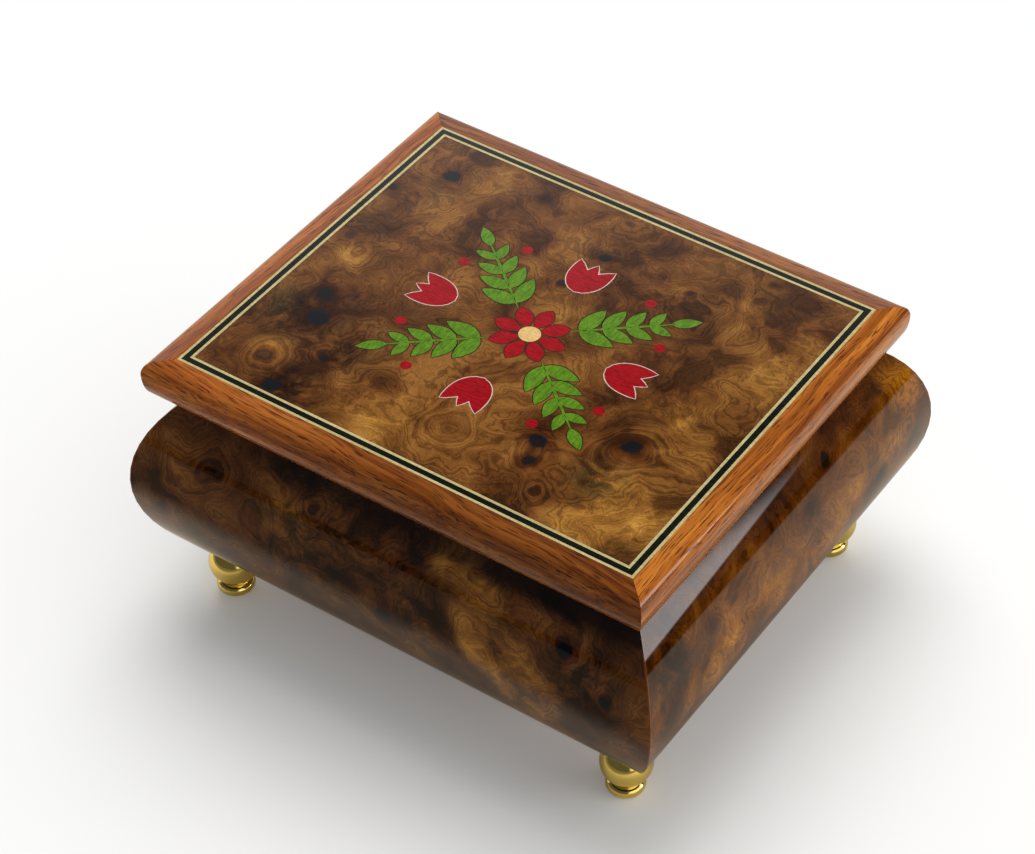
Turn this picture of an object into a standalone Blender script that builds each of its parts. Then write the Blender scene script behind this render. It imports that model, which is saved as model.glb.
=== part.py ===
"""A musical jewellery box: a bombe wooden body on brass feet, an inlaid overhanging lid
on two butt hinges, and an 18-note comb and cylinder movement under a clear cover.

The box stands on the XY plane with its front towards -Y. The origin is on the ground at the
centre of the box. Sizes are in metres.
"""

import math

import bmesh
import bpy
from mathutils import Vector

MM = 0.001

# Clearances
SEAT_GAP = 0.3 * MM  # between pieces that are glued, screwed or rest on each other
INLAY_GAP = 0.1 * MM  # between the lines of the lid's stringing
BEARING_GAP = 0.12 * MM  # round a shaft in its bearing or bore
JOIN_DEPTH = 1.0 * MM  # by which a piece that is joined on is sunk into its neighbour

# Box: offsets are measured outwards from the rectangle that the stringing encloses
STRINGING_WIDTH = 135.0 * MM
STRINGING_DEPTH = 114.7 * MM
FOOT_HEIGHT = 16.3 * MM
BODY_HEIGHT = 56.2 * MM
BULGE_OUT = 11.65 * MM
BULGE_RADIUS = 35.3 * MM
BULGE_TALL = 0.628  # the swell's upright radius, of the body's height
BULGE_RISE = 0.49  # from the body's lower edge to the widest place, of its height
INNER_INSET = 9.0 * MM
BASE_THICKNESS = 4.0 * MM
BASE_INSET = 3.4 * MM
MITRE_TRIM = 0.2 * MM  # cut from each mitred end

# Feet
FOOT_INSET_X = 5.5 * MM
FOOT_INSET_Y = 6.35 * MM
FOOT_BALL_RADIUS = 6.9 * MM
FOOT_BALL_SEAT = 6.1 * MM  # from the ball's middle up to the base board
FOOT_BEAD_RADIUS = 5.2 * MM
FOOT_NECK_RADIUS = 3.5 * MM
FOOT_STUD_RADIUS = 1.2 * MM

# Lid
LID_SHIFT = -1.9 * MM  # the lid is hinged a little to the left of the body's middle
LID_THICKNESS = 9.9 * MM
LID_FLAT_OUT = 4.0 * MM
LID_NOSE_OUT = 6.6 * MM
LID_FOOT_OUT = 5.0 * MM
LID_NOSE_DROP = 3.6 * MM
STRING_LINE = 0.9 * MM
STRING_BLACK = 0.95 * MM
STRING_DEPTH = 1.5 * MM
LINING_THICKNESS = 1.4 * MM
LINING_INSET = 1.5 * MM  # from the walls, so that the lid can swing
LINING_CORNER = 2.0 * MM

# Hinges
HINGE_INSET = 29.5 * MM  # of a hinge's middle
HINGE_LENGTH = 22.0 * MM
HINGE_OUT = 3.0 * MM
LEAF_THICKNESS = 1.0 * MM
LEAF_REACH = 11.0 * MM
KNUCKLE_RADIUS = 1.5 * MM
HINGE_PIN_RADIUS = 0.7 * MM
KNUCKLE_ROOM = 0.5 * MM  # between the knuckles and the lid's notch
KNUCKLE_PLAY = 0.15 * MM  # at each end of a knuckle
LEAF_SETBACK = 0.6 * MM  # of a leaf's edge from the knuckles

# Inside of the box
DIVIDER_THICKNESS = 3.0 * MM
BAY_WIDTH = 45.5 * MM
DIVIDER_DROP = 4.0 * MM  # below the rim
TRAY_DROP = 8.0 * MM
COVER_THICKNESS = 1.8 * MM
COVER_HEIGHT = 35.0 * MM  # of the cover's underside above the base board
LEDGE_SIZE = 4.0 * MM

# Movement
BEDPLATE_WIDTH = 39.0 * MM
BEDPLATE_LENGTH = 53.0 * MM
BEDPLATE_THICKNESS = 2.5 * MM
BEDPLATE_TO_BACK = 16.35 * MM
BEDPLATE_CORNER = 3.0 * MM
BRACKET_HALF_WIDTH = 2.6 * MM
MOUNT_SCREW_INSET = 3.7 * MM
MOUNT_SCREW_RADIUS = 1.5 * MM
MOUNT_SCREW_HEAD = 2.9 * MM
MOUNT_SCREW_HEAD_HEIGHT = 1.3 * MM
CYLINDER_FROM_EDGE = 12.0 * MM
CYLINDER_RISE = 9.2 * MM  # of its axis above the bedplate
CYLINDER_RADIUS = 6.3 * MM
PIN_HEIGHT = 0.6 * MM
PIN_WIDTH = 0.36 * MM
CYLINDER_COLUMNS = 24
ARBOR_RADIUS = 0.8 * MM
ARBOR_OVERHANG = 0.5 * MM  # beyond the rear bracket
BRACKET_THICKNESS = 1.3 * MM
NOTES = 18
COMB_THICKNESS = 1.1 * MM
COMB_RISE = 0.5 * MM  # of the comb's top above the cylinder's axis
COMB_HEEL = 6.8 * MM
TOOTH_SHARE = 0.72  # of the pitch from tooth to tooth
SLOT_SHARES = (0.964, 0.643)  # bass and treble slots, of the way from the tips to the heel
PLUCK_GAP = 0.25 * MM
WEIGHTED_TEETH = 6
WEIGHT_DEPTH = 1.5 * MM
COMB_SCREW_RADIUS = 1.0 * MM
COMB_SCREW_LENGTH = 4.0 * MM
COMB_SCREW_HEAD = 2.0 * MM
COMB_SCREW_HEAD_HEIGHT = 1.2 * MM
COMB_TO_MOUNT = 4.6 * MM  # from the comb's end to the mounting screw's middle
PEDESTAL_MARGIN = 0.6 * MM
TOOTH_STAGES = ((0.62, 0.62), (0.38, 0.45))  # shares of the slot and of the comb's thickness

# Gear train
CROWN_TEETH = 36
CROWN_RADIUS = 10.4 * MM  # middle of its face
CROWN_FACE = 1.6 * MM
CROWN_WEB = 1.6 * MM
PINION_TEETH = 12
CYLINDER_GEAR_TEETH = 36
CYLINDER_GEAR_RADIUS = 7.2 * MM
GOVERNOR_PINION_TEETH = 9
GOVERNOR_WHEEL_TEETH = 24
GOVERNOR_WHEEL_RADIUS = 4.2 * MM
WORM_RADIUS = 1.3 * MM
GEAR_THICKNESS = 1.0 * MM
CROWN_TOOTH = (0.42 * MM, 0.6 * MM)  # above and below the pitch line
SPUR_TOOTH = (0.34 * MM, 0.5 * MM)
WORM_WHEEL_TOOTH = (0.25 * MM, 0.42 * MM)
WORM_THREAD = (0.25 * MM, 0.45 * MM)
WORM_SHAFT_RADIUS = 0.45 * MM
WORM_PIVOT_RADIUS = 0.25 * MM
CROWN_HUB_RADIUS = 3.2 * MM

# Spring and key
HOUSING_RADIUS = 8.4 * MM
HOUSING_HEIGHT = 10.6 * MM
HOUSING_WALL = 0.7 * MM
BARREL_FROM_FRONT = 12.0 * MM
SPRING_STRIP = 0.35 * MM
SPRING_TURNS = 4.5
WINDING_ARBOR_RADIUS = 1.5 * MM
KEY_HUB_RADIUS = 3.0 * MM
KEY_WING_SPAN = 19.0 * MM
KEY_WING_THICKNESS = 1.6 * MM
KEY_CLEARANCE = 5.0 * MM  # above the ground
KEY_FLOOR = 2.0 * MM  # below the arbor's socket
KEY_DROP = 0.4 * MM  # from the base board to the key
KEY_WING_SHOULDER = 2.6 * MM  # from the hub's top to the wings
POST_RADIUS = 1.3 * MM

# Governor and stop
FRAME_SHEET = 0.8 * MM
FRAME_LEFT_REACH = 3.4 * MM
TRAIN_GAP = 0.5 * MM  # between parts that pass each other
BRAKE_RISE = 3.7 * MM  # above the worm's middle
LEVER_PIVOT_OUT = 3.6 * MM  # behind the governor's frame
FAN_RADIUS = 3.4 * MM
FAN_HEIGHT = 4.4 * MM
BRAKE_RADIUS = 1.9 * MM
BRAKE_THICKNESS = 0.6 * MM
FAN_HUB_RADIUS = 1.1 * MM
FAN_SHEET = 0.5 * MM
FRAME_ARM_HALF_WIDTH = 1.3 * MM
LOWER_ARM_DROP = 6.4 * MM  # below the worm's middle
PIVOT_RADIUS = 0.6 * MM
LEVER_THICKNESS = 0.8 * MM
LEVER_BAR = 0.9 * MM
PLUNGER_RADIUS = 1.2 * MM
PLUNGER_DROP = 0.4 * MM  # from the lid's lining to the plunger's top
LEVER_ARM = 5.6 * MM

# Worked out from the sizes above
HALF_X = STRINGING_WIDTH / 2
HALF_Y = STRINGING_DEPTH / 2
FOOT_X = HALF_X - FOOT_INSET_X
FOOT_Y = HALF_Y - FOOT_INSET_Y
FOOT_BALL_Z = FOOT_HEIGHT - FOOT_BALL_SEAT
FOOT_NECK_Z = FOOT_BALL_Z - math.sqrt(FOOT_BALL_RADIUS**2 - FOOT_NECK_RADIUS**2)
BODY_LOW = FOOT_HEIGHT
RIM = BODY_LOW + BODY_HEIGHT
LID_LOW = RIM + SEAT_GAP
LID_TOP = LID_LOW + LID_THICKNESS
FLOOR = BODY_LOW + BASE_THICKNESS
INNER_X = HALF_X - INNER_INSET
INNER_Y = HALF_Y - INNER_INSET
HINGE_X = HALF_X - HINGE_INSET
HINGE_Y = HALF_Y + HINGE_OUT
HINGE_Z = (RIM + LID_LOW) / 2
DIVIDER_X = -INNER_X + BAY_WIDTH
LINING_LOW = LID_LOW - SEAT_GAP - LINING_THICKNESS
COVER_LOW = FLOOR + COVER_HEIGHT

BED_X = (-INNER_X + DIVIDER_X) / 2
BEDPLATE_REAR = INNER_Y - BEDPLATE_TO_BACK
BED_LOW = FLOOR + SEAT_GAP
BED_TOP = BED_LOW + BEDPLATE_THICKNESS
AXIS_X = BED_X - BEDPLATE_WIDTH / 2 + CYLINDER_FROM_EDGE
AXIS_Z = BED_TOP + CYLINDER_RISE
BARREL_Y = BEDPLATE_REAR - BEDPLATE_LENGTH + BARREL_FROM_FRONT
CROWN_OUTER = CROWN_RADIUS + CROWN_FACE / 2
CROWN_INNER = CROWN_RADIUS - CROWN_FACE / 2
PINION_RADIUS = CROWN_RADIUS * PINION_TEETH / CROWN_TEETH
CROWN_PITCH_Z = AXIS_Z - PINION_RADIUS
BRACKET_Y = BARREL_Y + CROWN_OUTER + SEAT_GAP
CYLINDER_Y = BRACKET_Y + BRACKET_THICKNESS + SEAT_GAP
CYLINDER_END = BEDPLATE_REAR - MOUNT_SCREW_INSET - COMB_TO_MOUNT
CYLINDER_LENGTH = CYLINDER_END - CYLINDER_Y
CYLINDER_GEAR_Y = CYLINDER_END + SEAT_GAP
REAR_BRACKET_Y = CYLINDER_GEAR_Y + GEAR_THICKNESS + TRAIN_GAP
GOVERNOR_PINION_RADIUS = CYLINDER_GEAR_RADIUS * GOVERNOR_PINION_TEETH / CYLINDER_GEAR_TEETH
GOVERNOR_X = AXIS_X + CYLINDER_GEAR_RADIUS + GOVERNOR_PINION_RADIUS
WORM_X = GOVERNOR_X + GOVERNOR_WHEEL_RADIUS + WORM_RADIUS
GOVERNOR_WHEEL_Y = REAR_BRACKET_Y + FRAME_SHEET + 3 * TRAIN_GAP
WORM_Y = GOVERNOR_WHEEL_Y + GEAR_THICKNESS / 2
FRAME_FRONT_Y = REAR_BRACKET_Y
FRAME_REAR_Y = 2 * WORM_Y - FRAME_FRONT_Y - FRAME_SHEET
FRAME_RIGHT_X = WORM_X + FAN_RADIUS + 3 * TRAIN_GAP
FRAME_LEFT_X = GOVERNOR_X - FRAME_LEFT_REACH
FRAME_PLATE_TOP = AXIS_Z + PIVOT_RADIUS + 3.6 * TRAIN_GAP
BRAKE_Z = AXIS_Z + BRAKE_RISE
FAN_Z = BRAKE_Z + BRAKE_THICKNESS + TRAIN_GAP
TOP_ARM_Z = FAN_Z + FAN_HEIGHT + TRAIN_GAP
PIVOT_Y = FRAME_REAR_Y + FRAME_SHEET + LEVER_PIVOT_OUT
PIVOT_Z = TOP_ARM_Z - PIVOT_RADIUS
PLUNGER_Y = PIVOT_Y + LEVER_ARM
COMB_TIP_X = AXIS_X + CYLINDER_RADIUS + PIN_HEIGHT + PLUCK_GAP
COMB_TOP = AXIS_Z + COMB_RISE
COMB_LOW = COMB_TOP - COMB_THICKNESS
COMB_END_X = BED_X + BEDPLATE_WIDTH / 2 - PEDESTAL_MARGIN
COMB_SCREW_X = COMB_END_X - COMB_HEEL / 2


def clear_scene():
    for thing in list(bpy.data.objects):
        bpy.data.objects.remove(thing, do_unlink=True)


def material(name, colour, roughness, metallic=0.0, alpha=1.0):
    """A Principled material, made once for each name."""
    made = bpy.data.materials.get(name)
    if made:
        return made
    made = bpy.data.materials.new(name)
    made.use_nodes = True
    shader = made.node_tree.nodes["Principled BSDF"]
    shader.inputs["Base Color"].default_value = (*colour, 1.0)
    shader.inputs["Roughness"].default_value = roughness
    shader.inputs["Metallic"].default_value = metallic
    shader.inputs["Alpha"].default_value = alpha
    made.diffuse_color = (*colour, alpha)
    return made


def burl():
    return material("burl_veneer", (0.20, 0.09, 0.035), 0.12)


def rosewood():
    return material("rosewood", (0.45, 0.17, 0.05), 0.2)


def plain_wood():
    return material("plain_wood", (0.55, 0.36, 0.2), 0.5)


def pale_line():
    return material("pale_line", (0.78, 0.68, 0.42), 0.2)


def black_line():
    return material("black_line", (0.02, 0.025, 0.02), 0.2)


def velvet():
    return material("velvet", (0.16, 0.01, 0.015), 0.95)


def polished_brass():
    return material("polished_brass", (0.83, 0.62, 0.22), 0.12, 1.0)


def gear_brass():
    return material("gear_brass", (0.76, 0.58, 0.26), 0.3, 1.0)


def cast_zinc():
    return material("cast_zinc", (0.56, 0.56, 0.55), 0.45, 1.0)


def steel():
    return material("steel", (0.6, 0.6, 0.6), 0.25, 1.0)


def pale_plastic():
    return material("pale_plastic", (0.85, 0.83, 0.76), 0.4)


def clear_plastic():
    return material("clear_plastic", (0.9, 0.95, 0.95), 0.05, 0.0, 0.3)


def on_plane(plane, a, b, c):
    """The point (a, b) of a plane, at height c along the plane's normal."""
    return {"XY": (a, b, c), "XZ": (a, c, b), "YZ": (c, a, b)}[plane]


def finish(name, bm, look, origin=(0.0, 0.0, 0.0), smooth_below=30.0):
    """Turns the mesh into an object whose origin is at the given world point."""
    bmesh.ops.remove_doubles(bm, verts=bm.verts, dist=0.001 * MM)
    bmesh.ops.recalc_face_normals(bm, faces=bm.faces)
    bmesh.ops.translate(bm, verts=bm.verts, vec=-Vector(origin))
    mesh = bpy.data.meshes.new(name)
    bm.to_mesh(mesh)
    bm.free()
    mesh.shade_smooth()
    mesh.set_sharp_from_angle(angle=math.radians(smooth_below))
    mesh.materials.append(look)
    made = bpy.data.objects.new(name, mesh)
    made.location = origin
    bpy.context.scene.collection.objects.link(made)
    return made


def loft(bm, loops, closed=False):
    """Skins a row of matching point loops, which is capped, or joined end to start."""
    rings = [[bm.verts.new(point) for point in loop] for loop in loops]
    pairs = list(zip(rings, rings[1:]))
    if closed:
        pairs.append((rings[-1], rings[0]))
    for first, second in pairs:
        for i in range(len(first)):
            bm.faces.new((first[i - 1], first[i], second[i], second[i - 1]))
    if not closed:
        bm.faces.new(rings[0])
        bm.faces.new(rings[-1])


def plate(bm, plane, outline, low, high, holes=()):
    """A flat plate between two heights along its plane's normal, with its holes."""
    edges = []
    for loop in [outline, *holes]:
        corners = [bm.verts.new(on_plane(plane, a, b, low)) for a, b in loop]
        edges += [bm.edges.new((corners[i - 1], corners[i])) for i in range(len(corners))]
    filled = bmesh.ops.triangle_fill(bm, use_beauty=True, use_dissolve=False, edges=edges)
    faces = [item for item in filled["geom"] if isinstance(item, bmesh.types.BMFace)]
    raised = bmesh.ops.extrude_face_region(bm, geom=faces)["geom"]
    verts = [item for item in raised if isinstance(item, bmesh.types.BMVert)]
    bmesh.ops.translate(bm, verts=verts, vec=on_plane(plane, 0.0, 0.0, high - low))


def box(bm, x, y, z):
    """A block between the two ends given for each direction."""
    plate(bm, "XY", [(x[0], y[0]), (x[1], y[0]), (x[1], y[1]), (x[0], y[1])], *z)


def circle(a, b, radius, steps=16, start=0.0, sweep=2 * math.pi):
    """Points round a circle, or along an arc of it when a smaller sweep is given."""
    whole = sweep >= 2 * math.pi
    count = steps if whole else steps + 1
    turns = [start + sweep * i / steps for i in range(count)]
    return [(a + radius * math.cos(turn), b + radius * math.sin(turn)) for turn in turns]


def rounded_box(a, b, radius, steps=4):
    """The corners of a rectangle between the ends a and b, rounded."""
    centres = ((a[1], b[1], 1, 1), (a[0], b[1], -1, 1), (a[0], b[0], -1, -1), (a[1], b[0], 1, -1))
    points = []
    for quarter, (ca, cb, sa, sb) in enumerate(centres):
        start = quarter * math.pi / 2
        points += circle(ca - sa * radius, cb - sb * radius, radius, steps, start, math.pi / 2)
    return points


def lathe(bm, profile, centre, steps=24):
    """Spins a profile of (radius, height) pairs about the vertical line through centre."""
    verts = [bm.verts.new((centre[0] + r, centre[1], z)) for r, z in profile]
    edges = [bm.edges.new(pair) for pair in zip(verts, verts[1:])]
    if profile[0][0] > 0:
        edges.append(bm.edges.new((verts[-1], verts[0])))
    bmesh.ops.spin(
        bm,
        geom=verts + edges,
        cent=(*centre, 0.0),
        axis=(0.0, 0.0, 1.0),
        angle=2 * math.pi,
        steps=steps,
        use_merge=True,
    )


def join(target, piece, operation="UNION"):
    """Adds a hidden piece to an object, or cuts it away."""
    piece.hide_render = True
    piece.display_type = "WIRE"
    change = target.modifiers.new(piece.name, "BOOLEAN")
    change.operation = operation
    change.solver = "EXACT"
    change.object = piece


def side_points(side, along, out, z):
    """A point beside one of the four sides, from its place along the side and outwards."""
    return {
        "front": (along, -out, z),
        "right": (out, along, z),
        "back": (-along, out, z),
        "left": (-out, -along, z),
    }[side]


def mitred_side(name, side, profile, look, shift=0.0):
    """A length of moulding with mitred ends; profile holds (offset, height) pairs."""
    half_along, half_out = (HALF_X, HALF_Y) if side in ("front", "back") else (HALF_Y, HALF_X)
    ends = []
    for end in (-1, 1):
        reach = half_along - MITRE_TRIM
        ends.append([side_points(side, end * (reach + o), half_out + o, z) for o, z in profile])
    bm = bmesh.new()
    loft(bm, ends)
    bmesh.ops.translate(bm, verts=bm.verts, vec=(shift, 0.0, 0.0))
    return finish(name, bm, look)


def rectangular_ring(name, profile, look):
    """A closed frame in the lid whose section follows the stringing rectangle."""
    corners = []
    for sx, sy in ((1, 1), (-1, 1), (-1, -1), (1, -1)):
        corners.append([(sx * (HALF_X + o), sy * (HALF_Y + o), z) for o, z in profile])
    bm = bmesh.new()
    loft(bm, corners, closed=True)
    bmesh.ops.translate(bm, verts=bm.verts, vec=(LID_SHIFT, 0.0, 0.0))
    return finish(name, bm, look)


def wall_profile():
    """The body's section: flat inside, one swelling arc outside, a rebate for the base."""
    middle = BODY_LOW + BULGE_RISE * BODY_HEIGHT
    tall = BULGE_TALL * BODY_HEIGHT
    high = math.asin((RIM - middle) / tall)
    low = math.asin((BODY_LOW - middle) / tall)
    steps = 16
    points = []
    for i in range(steps + 1):
        turn = high + (low - high) * i / steps
        out = BULGE_OUT - BULGE_RADIUS + BULGE_RADIUS * math.cos(turn)
        points.append((out, middle + tall * math.sin(turn)))
    shoulder = FLOOR + SEAT_GAP
    points += [(-BASE_INSET, BODY_LOW), (-BASE_INSET, shoulder), (-INNER_INSET, shoulder)]
    points.append((-INNER_INSET, RIM))
    return points


def lid_edge_profile():
    """The lid moulding's section: flat on top and below, with a full rounded nose."""
    nose = LID_TOP - LID_NOSE_DROP
    points = [(SEAT_GAP, LID_TOP)]
    for i in range(7):
        turn = math.pi / 2 * (1 - i / 6)
        out = LID_FLAT_OUT + (LID_NOSE_OUT - LID_FLAT_OUT) * math.cos(turn)
        points.append((out, nose + LID_NOSE_DROP * math.sin(turn)))
    for i in range(1, 6):
        turn = math.pi / 2 * i / 5
        out = LID_FOOT_OUT + (LID_NOSE_OUT - LID_FOOT_OUT) * math.cos(turn)
        points.append((out, nose - (nose - LID_LOW) * math.sin(turn)))
    points.append((SEAT_GAP, LID_LOW))
    return points


def hinge_mortises(target, side_of_joint):
    """Cuts the seats of both hinges' leaves, and in the lid the room for the knuckles."""
    for name, x in (("left", -HINGE_X), ("right", HINGE_X)):
        half = HINGE_LENGTH / 2 + SEAT_GAP
        inner = HINGE_Y - LEAF_REACH - SEAT_GAP
        depth = LEAF_THICKNESS + SEAT_GAP
        bm = bmesh.new()
        if side_of_joint == "body":
            box(bm, (x - half, x + half), (inner, HINGE_Y), (RIM - depth, LID_LOW))
        else:
            box(bm, (x - half, x + half), (inner, HINGE_Y), (RIM, LID_LOW + depth))
        join(target, finish(f"{target.name}_{name}_mortise", bm, steel()), "DIFFERENCE")
        if target.name != "lid_moulding_back":
            continue
        room = KNUCKLE_RADIUS + KNUCKLE_ROOM
        bm = bmesh.new()
        box(
            bm,
            (x - half, x + half),
            (HINGE_Y - room, HALF_Y + LID_NOSE_OUT + SEAT_GAP),
            (RIM, HINGE_Z + room),
        )
        join(target, finish(f"{target.name}_{name}_notch", bm, steel()), "DIFFERENCE")


def make_body():
    for side in ("front", "back", "left", "right"):
        wall = mitred_side(f"{side}_wall", side, wall_profile(), burl())
        if side == "back":
            hinge_mortises(wall, "body")
    half_x = HALF_X - BASE_INSET - SEAT_GAP
    half_y = HALF_Y - BASE_INSET - SEAT_GAP
    outline = [(-half_x, -half_y), (half_x, -half_y), (half_x, half_y), (-half_x, half_y)]
    holes = [circle(AXIS_X, BARREL_Y, WINDING_ARBOR_RADIUS + 4 * SEAT_GAP)]
    holes += [circle(x, y, MOUNT_SCREW_RADIUS + SEAT_GAP) for x, y in mount_screw_places()]
    for x, y in foot_places().values():
        holes.append(circle(x, y, FOOT_STUD_RADIUS + BEARING_GAP, 12))
    bm = bmesh.new()
    plate(bm, "XY", outline, BODY_LOW, FLOOR, holes)
    finish("base_board", bm, plain_wood())


def foot_places():
    return {
        "front_left": (-FOOT_X, -FOOT_Y),
        "front_right": (FOOT_X, -FOOT_Y),
        "rear_left": (-FOOT_X, FOOT_Y),
        "rear_right": (FOOT_X, FOOT_Y),
    }


def foot_profile():
    """A turned foot: a bead on the ground, a neck, a ball and a plain stud."""
    top = FOOT_HEIGHT - SEAT_GAP
    points = [(0.0, 0.0), (FOOT_NECK_RADIUS, 0.0)]
    for i in range(5):
        turn = math.radians(-60 + 30 * i)
        swell = FOOT_BEAD_RADIUS - FOOT_NECK_RADIUS
        height = FOOT_NECK_Z / 2 * (1 + 0.85 * math.sin(turn))
        points.append((FOOT_NECK_RADIUS + swell * math.cos(turn), height))
    low = -math.acos(FOOT_NECK_RADIUS / FOOT_BALL_RADIUS)
    high = math.asin((top - FOOT_BALL_Z) / FOOT_BALL_RADIUS)
    for i in range(9):
        turn = low + (high - low) * i / 8
        height = FOOT_BALL_Z + FOOT_BALL_RADIUS * math.sin(turn)
        points.append((FOOT_BALL_RADIUS * math.cos(turn), height))
    points.append((FOOT_STUD_RADIUS, top))
    points += [(FOOT_STUD_RADIUS, FLOOR - SEAT_GAP), (0.0, FLOOR - SEAT_GAP)]
    return points


def make_feet():
    for place, centre in foot_places().items():
        bm = bmesh.new()
        lathe(bm, foot_profile(), centre, 20)
        finish(f"foot_{place}", bm, polished_brass(), (*centre, 0.0), 50.0)


def make_lid():
    """The panel with a rebate round its top, its mouldings, stringing and lining."""
    low_x, low_y = HALF_X - INLAY_GAP, HALF_Y - INLAY_GAP
    string_width = 2 * STRING_LINE + STRING_BLACK + 4 * INLAY_GAP
    top_x, top_y = HALF_X - string_width, HALF_Y - string_width
    bed = LID_TOP - STRING_DEPTH - INLAY_GAP
    levels = ((low_x, low_y, LID_LOW), (low_x, low_y, bed), (top_x, top_y, bed), (top_x, top_y, LID_TOP))
    bm = bmesh.new()
    loft(bm, [[(-x, -y, z), (x, -y, z), (x, y, z), (-x, y, z)] for x, y, z in levels])
    bmesh.ops.translate(bm, verts=bm.verts, vec=(LID_SHIFT, 0.0, 0.0))
    pivot = (0.0, HINGE_Y, HINGE_Z)
    panel = finish("lid_panel", bm, burl(), pivot)
    hinge_mortises(panel, "lid")
    for side in ("front", "back", "left", "right"):
        name = f"lid_moulding_{side}"
        edge = mitred_side(name, side, lid_edge_profile(), rosewood(), LID_SHIFT)
        if side == "back":
            hinge_mortises(edge, "lid")
    make_stringing()
    half_x, half_y = INNER_X - LINING_INSET, INNER_Y - LINING_INSET
    bm = bmesh.new()
    plate(
        bm,
        "XY",
        rounded_box((-half_x, half_x), (-half_y, half_y), LINING_CORNER),
        LINING_LOW,
        LINING_LOW + LINING_THICKNESS,
    )
    finish("lid_lining", bm, velvet(), pivot)


def make_stringing():
    """Three lines let into the lid: pale, black and pale again."""
    outer = -INLAY_GAP
    lines = (
        ("stringing_outer", STRING_LINE, pale_line()),
        ("stringing_black", STRING_BLACK, black_line()),
        ("stringing_inner", STRING_LINE, pale_line()),
    )
    for name, width, look in lines:
        inner = outer - width
        low = LID_TOP - STRING_DEPTH
        section = [(inner, low), (outer, low), (outer, LID_TOP), (inner, LID_TOP)]
        rectangular_ring(name, section, look)
        outer = inner - INLAY_GAP


def knuckle_outline(low, high):
    """A knuckle's round with the arm to its leaf, in the plane across the pin."""
    start = math.pi + math.asin((HINGE_Z - low) / KNUCKLE_RADIUS)
    end = 3 * math.pi + math.asin((HINGE_Z - high) / KNUCKLE_RADIUS)
    points = circle(HINGE_Y, HINGE_Z, KNUCKLE_RADIUS, 16, start, end - start)
    inner = HINGE_Y - 2 * KNUCKLE_RADIUS
    return points + [(inner, high), (inner, low)]


def make_hinge(name, x):
    """A butt hinge: two knuckles on the body's leaf, one on the lid's, and the pin."""
    step = HINGE_LENGTH / 3
    edge = x - HINGE_LENGTH / 2
    leaves = (
        ("body", RIM - LEAF_THICKNESS, RIM, (0, 2)),
        ("lid", LID_LOW, LID_LOW + LEAF_THICKNESS, (1,)),
    )
    for leaf, low, high, knuckles in leaves:
        bm = bmesh.new()
        reach = (HINGE_Y - LEAF_REACH, HINGE_Y - KNUCKLE_RADIUS - LEAF_SETBACK)
        box(bm, (edge, edge + HINGE_LENGTH), reach, (low, high))
        origin = (x, HINGE_Y, HINGE_Z)
        made = finish(f"hinge_{name}_{leaf}_leaf", bm, polished_brass(), origin)
        for k in knuckles:
            bm = bmesh.new()
            bore = circle(HINGE_Y, HINGE_Z, HINGE_PIN_RADIUS + BEARING_GAP, 12)
            start = edge + k * step + KNUCKLE_PLAY
            end = edge + (k + 1) * step - KNUCKLE_PLAY
            plate(bm, "YZ", knuckle_outline(low, high), start, end, [bore])
            join(made, finish(f"{made.name}_knuckle_{k}", bm, polished_brass(), origin))
    bm = bmesh.new()
    pin = circle(HINGE_Y, HINGE_Z, HINGE_PIN_RADIUS, 12)
    plate(bm, "YZ", pin, edge, edge + HINGE_LENGTH)
    finish(f"hinge_{name}_pin", bm, polished_brass(), (x, HINGE_Y, HINGE_Z))


def make_interior():
    """The divider, the lined compartment, and the movement's cover on its two ledges."""
    near_y = INNER_Y - SEAT_GAP
    bm = bmesh.new()
    box(
        bm,
        (DIVIDER_X, DIVIDER_X + DIVIDER_THICKNESS),
        (-near_y, near_y),
        (FLOOR + SEAT_GAP, RIM - DIVIDER_DROP),
    )
    finish("divider", bm, plain_wood())

    low_x = DIVIDER_X + DIVIDER_THICKNESS + SEAT_GAP
    high_x = INNER_X - SEAT_GAP
    low, top = FLOOR + SEAT_GAP, RIM - TRAY_DROP
    inside = LINING_THICKNESS
    levels = ((0.0, low), (0.0, top), (inside, top), (inside, low + inside))
    loops = []
    for inset, z in levels:
        ax, bx = low_x + inset, high_x - inset
        y = near_y - inset
        loops.append([(ax, -y, z), (bx, -y, z), (bx, y, z), (ax, y, z)])
    bm = bmesh.new()
    loft(bm, loops)
    finish("compartment_lining", bm, velvet())

    bay = (-INNER_X + SEAT_GAP, DIVIDER_X - SEAT_GAP)
    outline = [(bay[0], -near_y), (bay[1], -near_y), (bay[1], near_y), (bay[0], near_y)]
    hole = circle(WORM_X, PLUNGER_Y, PLUNGER_RADIUS + BEARING_GAP)
    bm = bmesh.new()
    plate(bm, "XY", outline, COVER_LOW, COVER_LOW + COVER_THICKNESS, [hole])
    finish("movement_cover", bm, clear_plastic())
    ledge_top = COVER_LOW - SEAT_GAP
    for name, sign in (("front", -1), ("back", 1)):
        ends = sorted((sign * near_y, sign * (near_y - LEDGE_SIZE)))
        bm = bmesh.new()
        box(bm, bay, ends, (ledge_top - LEDGE_SIZE, ledge_top))
        finish(f"cover_ledge_{name}", bm, plain_wood())


def mount_screw_places():
    """Where the two screws come up through the base board into the bedplate."""
    x = BED_X + BEDPLATE_WIDTH / 2 - MOUNT_SCREW_INSET
    front = BEDPLATE_REAR - BEDPLATE_LENGTH + MOUNT_SCREW_INSET
    return [(x, front), (x, BEDPLATE_REAR - MOUNT_SCREW_INSET)]


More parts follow.
